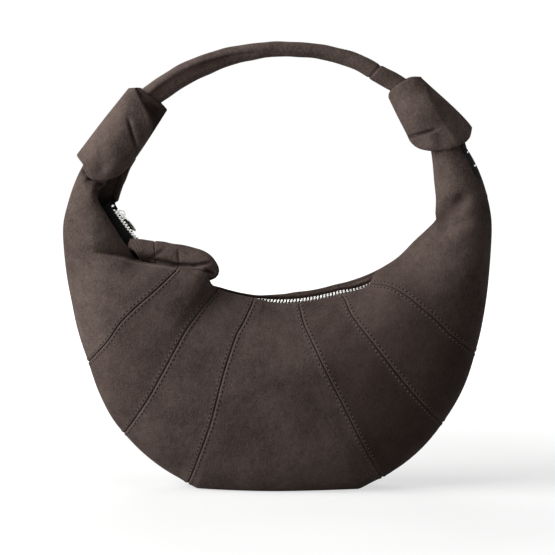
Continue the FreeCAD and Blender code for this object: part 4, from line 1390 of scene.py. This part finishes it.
class HALFMOON_OT_folded_lip(bpy.types.Operator):
    """Roll the slack left stretch of the front lip"""

    bl_idname = "halfmoon.folded_lip"
    bl_label = "Folded lip"

    def execute(self, context):
        sizes, colours = context.scene.bag_sizes, context.scene.bag_colours
        piece = new_grid("folded_lip", fold_grid, partial(fold_places, sizes), closed=True)
        dress(piece, "bag", "leather", leather_finish(colours))
        return {"FINISHED"}


def zip_place(sizes, turn_angle):
    """A place on the zip: X along it, Y across, Z towards the arc centre."""
    turn = math.radians(turn_angle)
    spot = arc_centre + Vector((math.sin(turn), 0, -math.cos(turn))) * sizes.zip_radius
    return Matrix.Translation(spot) @ Matrix.Rotation(-turn, 4, "Y")


def sag_zip(form):
    """Lets points of the zip down along the line from its arc centre."""
    for vertex in form.verts:
        out = vertex.co - arc_centre
        out.y = 0
        turn = math.degrees(math.atan2(out.x, -out.z))
        vertex.co += out.normalized() * float(smooth_rows(zip_sags, np.array([turn]))[0])


def spun(form, turn_angle, steps, copies=False):
    """Turns all that a form holds about the zip's arc centre."""
    bmesh.ops.spin(
        form, geom=form.verts[:] + form.edges[:] + form.faces[:], cent=arc_centre, axis=(0, -1, 0),
        angle=math.radians(turn_angle), steps=steps, use_duplicate=copies, use_merge=False)


def block(form, place, size, rounding, segments=2):
    """A rounded block of a given size, in the frame of a place."""
    made = bmesh.ops.create_cube(form, size=1, matrix=place @ Matrix.Diagonal((*size, 1)))
    edges = {edge for vertex in made["verts"] for edge in vertex.link_edges}
    bmesh.ops.bevel(form, geom=list(edges), offset=rounding, affect="EDGES", segments=segments,
                    profile=0.5, material=-1)


def metal_piece(name, form, body, colours, node):
    """A finished part of the zip's metal, in place of a node."""
    return dress(finished_mesh(name, form), body, "zip_metal", metal_finish(colours), node)


class HALFMOON_OT_zip(bpy.types.Operator):
    """Sew in the zip: its tapes, its teeth and its end stops"""

    bl_idname = "halfmoon.zip"
    bl_label = "Zip"

    def execute(self, context):
        sizes, colours = context.scene.bag_sizes, context.scene.bag_colours
        thick, fold = sizes.tape_thickness, sizes.tape_width
        inner = sizes.tooth_reach * tape_edge_share
        tooth = (sizes.tooth_length, sizes.tooth_reach * tooth_width_share, sizes.tooth_height)
        span = teeth_angles[1] - teeth_angles[0]
        lean = Matrix.Identity(4)
        lean[0][2] = tooth_lean
        for title, side in sides:
            front = side < 0
            wall, drop = (-sizes.tape_wall, sizes.tape_drop) if front else (-thick / 2, 0)
            corners = [(inner, thick / 2), (fold, thick / 2), (fold, wall)]
            if front:
                corners += [(fold - thick, wall), (fold - thick, -thick / 2)]
            corners += [(inner, -thick / 2)]
            place = zip_place(sizes, zip_angles[0]) @ Matrix.Translation((0, 0, -drop))
            form = bmesh.new()
            form.faces.new([form.verts.new(place @ Vector((0, side * y, z))) for y, z in corners])
            spun(form, zip_angles[1] - zip_angles[0], tape_steps)
            bmesh.ops.recalc_face_normals(form, faces=form.faces)
            sag_zip(form)
            piece = finished_mesh("tape_" + title, form)
            piece.data.shade_flat()
            dress(piece, "bag", "zip_tape", tape_finish(colours), "zip_tape_" + title)

            form = bmesh.new()
            shift = 0 if front else span / (teeth_count - 1) / 2
            aside, above = side * tooth[1] * tooth_seat_share, side * sizes.tooth_stagger
            seat = Matrix.Translation((0, aside, above))
            place = zip_place(sizes, teeth_angles[0] + shift) @ lean @ seat
            block(form, place, tooth, tooth_rounding)
            spun(form, span - 2 * shift, teeth_count - 1, copies=True)
            sag_zip(form)
            piece = metal_piece("teeth_" + title, form, "bag", colours, "zip_teeth_" + title)
            piece.data.shade_flat()

            form = bmesh.new()
            aside = Matrix.Translation((0, side * top_stop_offset, 0))
            place = zip_place(sizes, top_stop_angle) @ aside
            block(form, place, (stop_length, top_stop_width, sizes.stop_height), tooth_rounding)
            metal_piece("top_stop_" + title, form, "bag", colours, "zip_top_stop_" + title)

        form = bmesh.new()
        block(form, zip_place(sizes, bottom_stop_angle),
              (stop_length, bottom_stop_width, sizes.stop_height), bottom_stop_rounding)
        metal_piece("bottom_stop", form, "bag", colours, "zip_bottom_stop")
        return {"FINISHED"}


def make_pull(sizes, place):
    """A bmesh of the pull: a twisted tab with a slot for its bar."""
    form = bmesh.new()
    rim, hole = (bmesh.ops.create_circle(form, segments=pull_segments, radius=1)["verts"]
                 for _ in range(2))
    for vertex in rim:
        wide = pull_half_width + pull_flare * vertex.co.x
        along = between((pull_bar[0], sizes.pull_length), (1 + vertex.co.x) / 2)
        vertex.co = Vector((along, wide * vertex.co.y, 0))
    for vertex in hole:
        along = between((pull_bar[1], pull_slot_end), (1 + vertex.co.x) / 2)
        vertex.co = Vector((along, pull_slot_half_width * vertex.co.y, 0))
    bmesh.ops.bridge_loops(form, edges=form.edges[:])
    tab = bmesh.ops.extrude_face_region(form, geom=form.faces[:])["geom"]
    bmesh.ops.translate(form, vec=(0, 0, pull_thickness),
                        verts=[item for item in tab if isinstance(item, bmesh.types.BMVert)])
    bmesh.ops.translate(form, vec=(0, 0, -pull_thickness / 2), verts=form.verts)
    bmesh.ops.recalc_face_normals(form, faces=form.faces)
    sharp = [edge for edge in form.edges if edge.calc_face_angle(0) > sharp_angle]
    bmesh.ops.bevel(form, geom=sharp, offset=pull_rounding, affect="EDGES", segments=2,
                    profile=0.5, material=-1, clamp_overlap=True)
    spot = Matrix.Translation(pull_pivot) @ place.to_3x3().to_4x4()
    spot = spot @ Matrix.Rotation(-pull_lift, 4, "Y")
    for vertex in form.verts:
        share = float(ease(*pull_neck, vertex.co.x))
        vertex.co = spot @ Matrix.Rotation(pull_twist * share, 4, "X") @ vertex.co
    return form


class HALFMOON_OT_slider(bpy.types.Operator):
    """Make the slider, its bridge and its pull"""

    bl_idname = "halfmoon.slider"
    bl_label = "Zip slider"

    def execute(self, context):
        sizes, colours = context.scene.bag_sizes, context.scene.bag_colours
        place = zip_place(sizes, slider_angle)
        level = sizes.tooth_height / 2 + sizes.tooth_stagger + slider_clearance
        plate = sizes.slider_plate
        form = bmesh.new()
        for way in (1, -1):
            spot = place @ Matrix.Translation((0, 0, way * (level + plate / 2)))
            block(form, spot, (sizes.slider_length, sizes.slider_width, plate), slider_rounding, 3)
        block(form, place @ Matrix.Translation((post_place, 0, 0)),
              (post_length, post_width, 2 * level + plate / 2), post_rounding, 1)
        upright = place.inverted()
        for vertex in form.verts:
            spot = upright @ vertex.co
            spot.y *= 1 - slider_taper * max(spot.x, 0) / (sizes.slider_length / 2)
            vertex.co = place @ spot
        metal_piece("slider_body", form, "slider", colours, "zip_slider")

        form = bmesh.new()
        top = level + plate - bridge_sink
        foot = place @ Matrix.Translation((bridge_span, 0, top))
        bmesh.ops.create_circle(form, segments=bridge_segments, radius=bridge_wire,
                                cap_ends=True, matrix=foot)
        bmesh.ops.spin(form, geom=form.verts[:] + form.edges[:] + form.faces[:], axis=(0, 1, 0),
                       cent=place @ Vector((0, 0, top)), angle=-math.pi, steps=bridge_steps)
        bmesh.ops.recalc_face_normals(form, faces=form.faces)
        metal_piece("slider_bridge", form, "slider", colours, "zip_slider_bridge")
        metal_piece("pull_tab", make_pull(sizes, place), "pull", colours, "zip_pull")
        return {"FINISHED"}


def horn_places(sizes, side, turn_angle, shares):
    """Points of the last panel on the right, at angles as if its seam were straight."""
    spread = np.linspace(0, 1, 400)
    warped = between(panel_edges[-2:], crowded(spread))
    held = np.interp(turn_angle, warped, spread)
    return panel_shape(sizes, side, panel_count, held, shares).places


def tail_places(sizes, across, along):
    """Points of the tape that lies over the right horn's outer edge, narrow at its start."""
    turn_angle = between(tail_angles, along)
    front, back = (horn_places(sizes, side, turn_angle, np.linspace(*rows))
                   for side, rows in ((-1, tail_front_rows), (1, tail_back_rows)))
    strip = np.concatenate([front, back]).transpose(1, 0, 2)
    out = unit(np.cross(np.gradient(strip, axis=1), np.gradient(strip, axis=0)))
    out *= np.sign(out[:, :1, 1:2]) * -1
    across = np.linspace(0, 1, strip.shape[1])
    wanted = 0.5 + (across - 0.5)[None] * ease(*tail_widening, along)[:, None]
    return resampled(strip + out * tail_lift, across, wanted), {}


class HALFMOON_OT_zip_tail(bpy.types.Operator):
    """Lay the end of the zip over the right horn"""

    bl_idname = "halfmoon.zip_tail"
    bl_label = "Zip tail"

    def execute(self, context):
        sizes, colours = context.scene.bag_sizes, context.scene.bag_colours
        piece = new_grid("tape_tail", tail_grid, partial(tail_places, sizes))
        face_out(piece, Vector((1, 0, 0)))
        thicken(piece, sizes.tape_thickness)
        dress(piece, "bag", "zip_tape", tape_finish(colours), "zip_tail")

        form = bmesh.new()
        for turn_angle in tail_stop_angles:
            spots = (turn_angle - 0.5, turn_angle, turn_angle + 0.5)
            edge = horn_places(sizes, -1, spots, np.linspace(*tail_stop_rows))
            along = Vector(edge[1, 2] - edge[1, 0]).normalized()
            outward = along.cross(Vector(edge[2, 1] - edge[0, 1])).normalized()
            outward *= -1 if outward.y > 0 else 1
            turn = Matrix((along, outward.cross(along), outward)).transposed().to_4x4()
            spot = Vector(edge[1, 1]) + outward * (tail_lift + sizes.tape_thickness)
            block(form, Matrix.Translation(spot) @ turn, tail_stop_size, tail_stop_rounding)
        metal_piece("tail_stops", form, "bag", colours, "zip_tail_stops")
        return {"FINISHED"}


class HALFMOON_OT_knots(bpy.types.Operator):
    """Wrap the leather knots round the two horns"""

    bl_idname = "halfmoon.knots"
    bl_label = "Knots"

    def execute(self, context):
        sizes, colours = context.scene.bag_sizes, context.scene.bag_colours
        for title, knot, relief, front in (
            ("left", left_knot, left_knot_relief, rounded_front),
            ("right", right_knot, right_knot_relief, faceted_front),
        ):
            piece = new_grid("wrap_" + title, wrap_grid,
                             partial(knot_places, sizes, knot, relief, front), closed=True)
            piece.data.materials.append(leather_finish(colours))
            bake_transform(piece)
            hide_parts(title + "_knot")
        return {"FINISHED"}


# The handle's half thickness in metres, by place along it.
handle_girths = ((0.0, 0.0112), (0.17, 0.0107), (0.25, 0.0100), (0.33, 0.0090), (0.41, 0.0082),
                 (0.5, 0.0075), (0.65, 0.0073), (0.75, 0.0077), (0.86, 0.0083), (1.0, 0.0086))
# The share of the grid that each rounded end takes.
handle_cap = 0.045
# The edge of the valley at its left end: places along it, and how far up its front it lies.
valley_edge = ((0.0, 0.05, 0.12, 0.25, 0.45), (0.25, 0.35, 0.45, 0.3, 0.1))
# How softly the valley's edge turns and how it fades, where it shows on the front, where
# it ends along the handle and where it ends low on the front.
valley_softness, valley_fade = 0.15, 0.9
valley_front, valley_end, valley_foot = (-0.1, 0.35), (0.20, 0.56), (-0.85, -0.25)
# The seam along the handle: its turn at the left end and from there to the right end in
# radians, its height and width on the front, and where it shows there.
long_seam_turns, long_seam_place, long_seam_front = (-0.6, 2.4), (0.2, 0.06), (-0.1, 0.3)
# Waves of the handle, in the same terms as those of the folded lip.
handle_waves = ((0.0002, 38, 1), (0.00012, 71, -2))
# Depths of the valley, of the seam along the handle, and of the seam across it with the
# step beside it, and where the seam across it lies.
valley_depth, long_seam_depth = 0.0026, 0.0004
cross_seam_depth, cross_seam_step = 0.0008, 0.0005
cross_seam_place, cross_seam_lean, cross_seam_width = 0.882, 0.010, 0.004
# Painted shade of the valley, with its darkest, and the dark line of the seam across the
# handle.
valley_shade, valley_darkest, cross_seam_shade = 1.7, 1.2, 0.5
# How far the handle droops from its arc where it enters the right wrap, and over which stretch.
handle_droop = 0.0032
handle_droop_run = (0.76, 0.93)


def handle_places(sizes, around, along, inset=0.0):
    """Points and shade of the rolled handle, from its left end to its right end."""
    chord = handle_way * sizes.handle_chord
    half = sizes.handle_chord / 2
    upward = Vector((-chord.z, 0, chord.x)).normalized()
    centre = handle_end + chord / 2 - upward * math.sqrt(sizes.handle_radius ** 2 - half ** 2)
    span = 2 * math.asin(half / sizes.handle_radius)
    first = math.atan2((handle_end - centre).z, (handle_end - centre).x)
    share = np.clip((along - handle_cap) / (1 - 2 * handle_cap), 0, 1)
    girth = smooth_rows(handle_girths, share) - inset
    past = np.clip(1 - along / handle_cap, 0, 1) - np.clip(1 - (1 - along) / handle_cap, 0, 1)
    past = past * math.pi / 2
    turn = first - span * share
    radial = np.stack([np.cos(turn), np.sin(turn)], -1)
    tangent = np.stack([np.sin(turn), -np.cos(turn)], -1)
    droop = handle_droop * ease(*handle_droop_run, share)
    middle = np.array((centre.x, centre.z)) + radial * (sizes.handle_radius - droop)[:, None]
    middle = middle - tangent * (girth * np.sin(past))[:, None]
    roll = around[None] * 2 * math.pi
    outward, front = np.sin(roll), np.cos(roll)
    place = share[:, None]
    below = np.interp(place, *valley_edge) - outward
    valley = 0.5 + 0.5 * np.tanh(below / valley_softness)
    valley = valley * np.exp(-np.maximum(below, 0) / valley_fade) * ease(*valley_front, front)
    valley = valley * (1 - ease(*valley_end, place)) * ease(*valley_foot, outward)
    lean = place - cross_seam_place - cross_seam_lean * outward
    cross_seam = bump(lean, cross_seam_width)
    more = -valley_depth * valley - cross_seam_depth * cross_seam
    more = more + cross_seam_step * ease(0, 3 * cross_seam_width, lean)
    more = more + rolling(handle_waves, place, roll)
    start, twist = long_seam_turns
    long_seam = bump_at(np.sin(roll + start + place * twist), *long_seam_place)
    more = more - long_seam_depth * long_seam * ease(*long_seam_front, front)
    size = (girth[:, None] + more) * np.cos(past)[:, None]
    places = np.stack([middle[:, :1] + radial[:, :1] * outward * size, -front * size,
                       middle[:, 1:] + radial[:, 1:] * outward * size], -1)
    shade = np.clip(valley_shade * valley, 0, valley_darkest)
    # The "seam" mask holds the valley's painted shade and the seam's dark line.
    return places, {"seam": shade + cross_seam_shade * cross_seam}


class HALFMOON_OT_handle(bpy.types.Operator):
    """Roll the handle's leather over its core"""

    bl_idname = "halfmoon.handle"
    bl_label = "Handle"

    def execute(self, context):
        sizes, colours = context.scene.bag_sizes, context.scene.bag_colours
        piece = new_grid("handle_roll", handle_grid, partial(handle_places, sizes), closed=True)
        dress(piece, "handle", "leather", leather_finish(colours), "handle_sleeve")
        piece = new_grid("handle_cord", core_grid,
                         partial(handle_places, sizes, inset=sizes.core_gap), closed=True)
        dress(piece, "handle", "core", core_finish(colours), "handle_core")
        return {"FINISHED"}


def show_apart(tree, lit, shown, output):
    """Shows one shader to the camera and in metal, and lets the other one light the bag."""
    rays = tree.add("LightPath").outputs
    seen = tree.math("MAXIMUM", rays["Is Camera Ray"], rays["Is Glossy Ray"])
    seen = tree.math("MAXIMUM", seen, rays["Is Transmission Ray"])
    either = tree.add("MixShader", {"Fac": seen, 1: lit.outputs[0], 2: shown.outputs[0]})
    tree.put(either.outputs[0], tree.nodes[output].inputs["Surface"])


# The floor as the camera sees it: its grey in the bag's shadow, how brightly it shines
# near the bag and far from it, and the distances between which that changes, in metres.
floor_shadow = (0.38, 0.38, 0.376)
floor_glow, floor_glow_run = (0.63, 1.0), (0.35, 1.1)


def floor_finish(colours):
    """Plain floor that shows white and still takes the bag's shadow."""
    material, tree, shader = new_material("pale floor")
    tree.nodes.remove(shader)
    distance = tree.add("VectorMath", {0: tree.place()}, operation="LENGTH").outputs["Value"]
    far = tree.span(distance, *floor_glow_run)
    shadowed = tree.add("BsdfDiffuse", {"Color": floor_shadow})
    glow = tree.add("Emission", {"Strength": tree.span(far, 0, 1, *floor_glow)})
    shown = tree.add("AddShader", {0: shadowed.outputs[0], 1: glow.outputs[0]})
    plain = tree.add("BsdfDiffuse", {"Color": colours.floor})
    show_apart(tree, plain, shown, "Material Output")
    return material


def white_world(strength):
    """A world that shows white and lights the bag softly."""
    world = bpy.data.worlds.new("studio")
    world.use_nodes = True
    tree = Nodes(world.node_tree)
    soft, white = tree.nodes["Background"], (1, 1, 1)
    tree.fill(soft, {"Color": white, "Strength": strength})
    show_apart(tree, soft, tree.add("Background", {"Color": white}), "World Output")
    return world


def facing(place, way):
    """The place of a lamp or a camera that looks a given way."""
    turn = Vector(way).to_track_quat("-Z", "Y").to_matrix().to_4x4()
    return Matrix.Translation(place) @ turn


# Lamps: name, place, power in watts and width of the soft box in metres.
lamps = (
    ("key", (-2.25, -0.90, 1.30), 112.0, 2.2),
    ("top", (-0.3, -0.45, 2.4), 11.0, 1.4),
    ("fill", (0.6, -2.5, 0.7), 2.6, 1.4),
    ("back", (-0.3, 1.9, 1.5), 20.0, 1.4),
)
lamp_aim = (0.0, 0.0, 0.2)
world_strength = 0.045
# Half the floor's width, and how far it lies below the bag.
floor_half_width, floor_drop = 6, 0.0004


class HALFMOON_OT_stage(bpy.types.Operator):
    """Set the floor, the lamps and the camera"""

    bl_idname = "halfmoon.stage"
    bl_label = "Stage"

    def execute(self, context):
        scene = context.scene
        sizes, colours = scene.bag_sizes, scene.bag_colours
        form = bmesh.new()
        bmesh.ops.create_grid(form, x_segments=1, y_segments=1, size=floor_half_width,
                              matrix=Matrix.Translation((0, 0, -floor_drop)))
        floor = finished_mesh("floor", form)
        floor.data.materials.append(floor_finish(colours))
        scene.world = white_world(world_strength)
        for name, place, power, wide in lamps:
            light = bpy.data.lights.new(name, "AREA")
            light.energy, light.size = power, wide
            lamp = bpy.data.objects.new(name, light)
            lamp.matrix_world = facing(place, Vector(lamp_aim) - Vector(place))
            scene.collection.objects.link(lamp)
        lens = bpy.data.cameras.new("camera")
        lens.lens = lens.sensor_width * sizes.camera_distance / (photo_side * sizes.photo_pixel)
        camera = bpy.data.objects.new("camera", lens)
        place, forward, _ = camera_frame(sizes)
        camera.matrix_world = facing(place, forward)
        scene.collection.objects.link(camera)
        scene.camera = camera
        scene.view_settings.view_transform = "Standard"
        return {"FINISHED"}


class HALFMOON_PT_bag(bpy.types.Panel):
    """The bag's pieces, in the order that they are made"""

    bl_label = "Half Moon Bag"
    bl_idname = "HALFMOON_PT_bag"
    bl_space_type = "VIEW_3D"
    bl_region_type = "UI"
    bl_category = "Half Moon Bag"

    def draw(self, context):
        for operator in operators:
            self.layout.operator(operator.bl_idname)
        for group in (context.scene.bag_sizes, context.scene.bag_colours):
            box = self.layout.box()
            for name in group.bl_rna.properties.keys():
                if name not in ("rna_type", "name"):
                    box.prop(group, name)


operators = (
    HALFMOON_OT_leather_panels, HALFMOON_OT_stitching, HALFMOON_OT_lining, HALFMOON_OT_folded_lip,
    HALFMOON_OT_zip, HALFMOON_OT_slider, HALFMOON_OT_zip_tail, HALFMOON_OT_knots,
    HALFMOON_OT_handle, HALFMOON_OT_stage,
)
classes = (BagSizes, BagColours, *operators, HALFMOON_PT_bag)


def register():
    for item in classes:
        bpy.utils.register_class(item)
    bpy.types.Scene.bag_sizes = bpy.props.PointerProperty(type=BagSizes)
    bpy.types.Scene.bag_colours = bpy.props.PointerProperty(type=BagColours)


def unregister():
    del bpy.types.Scene.bag_sizes
    del bpy.types.Scene.bag_colours
    for item in reversed(classes):
        bpy.utils.unregister_class(item)


def main():
    register()
    for operator in operators:
        group, name = operator.bl_idname.split(".")
        getattr(getattr(bpy.ops, group), name)()


if __name__ == "__main__":
    main()
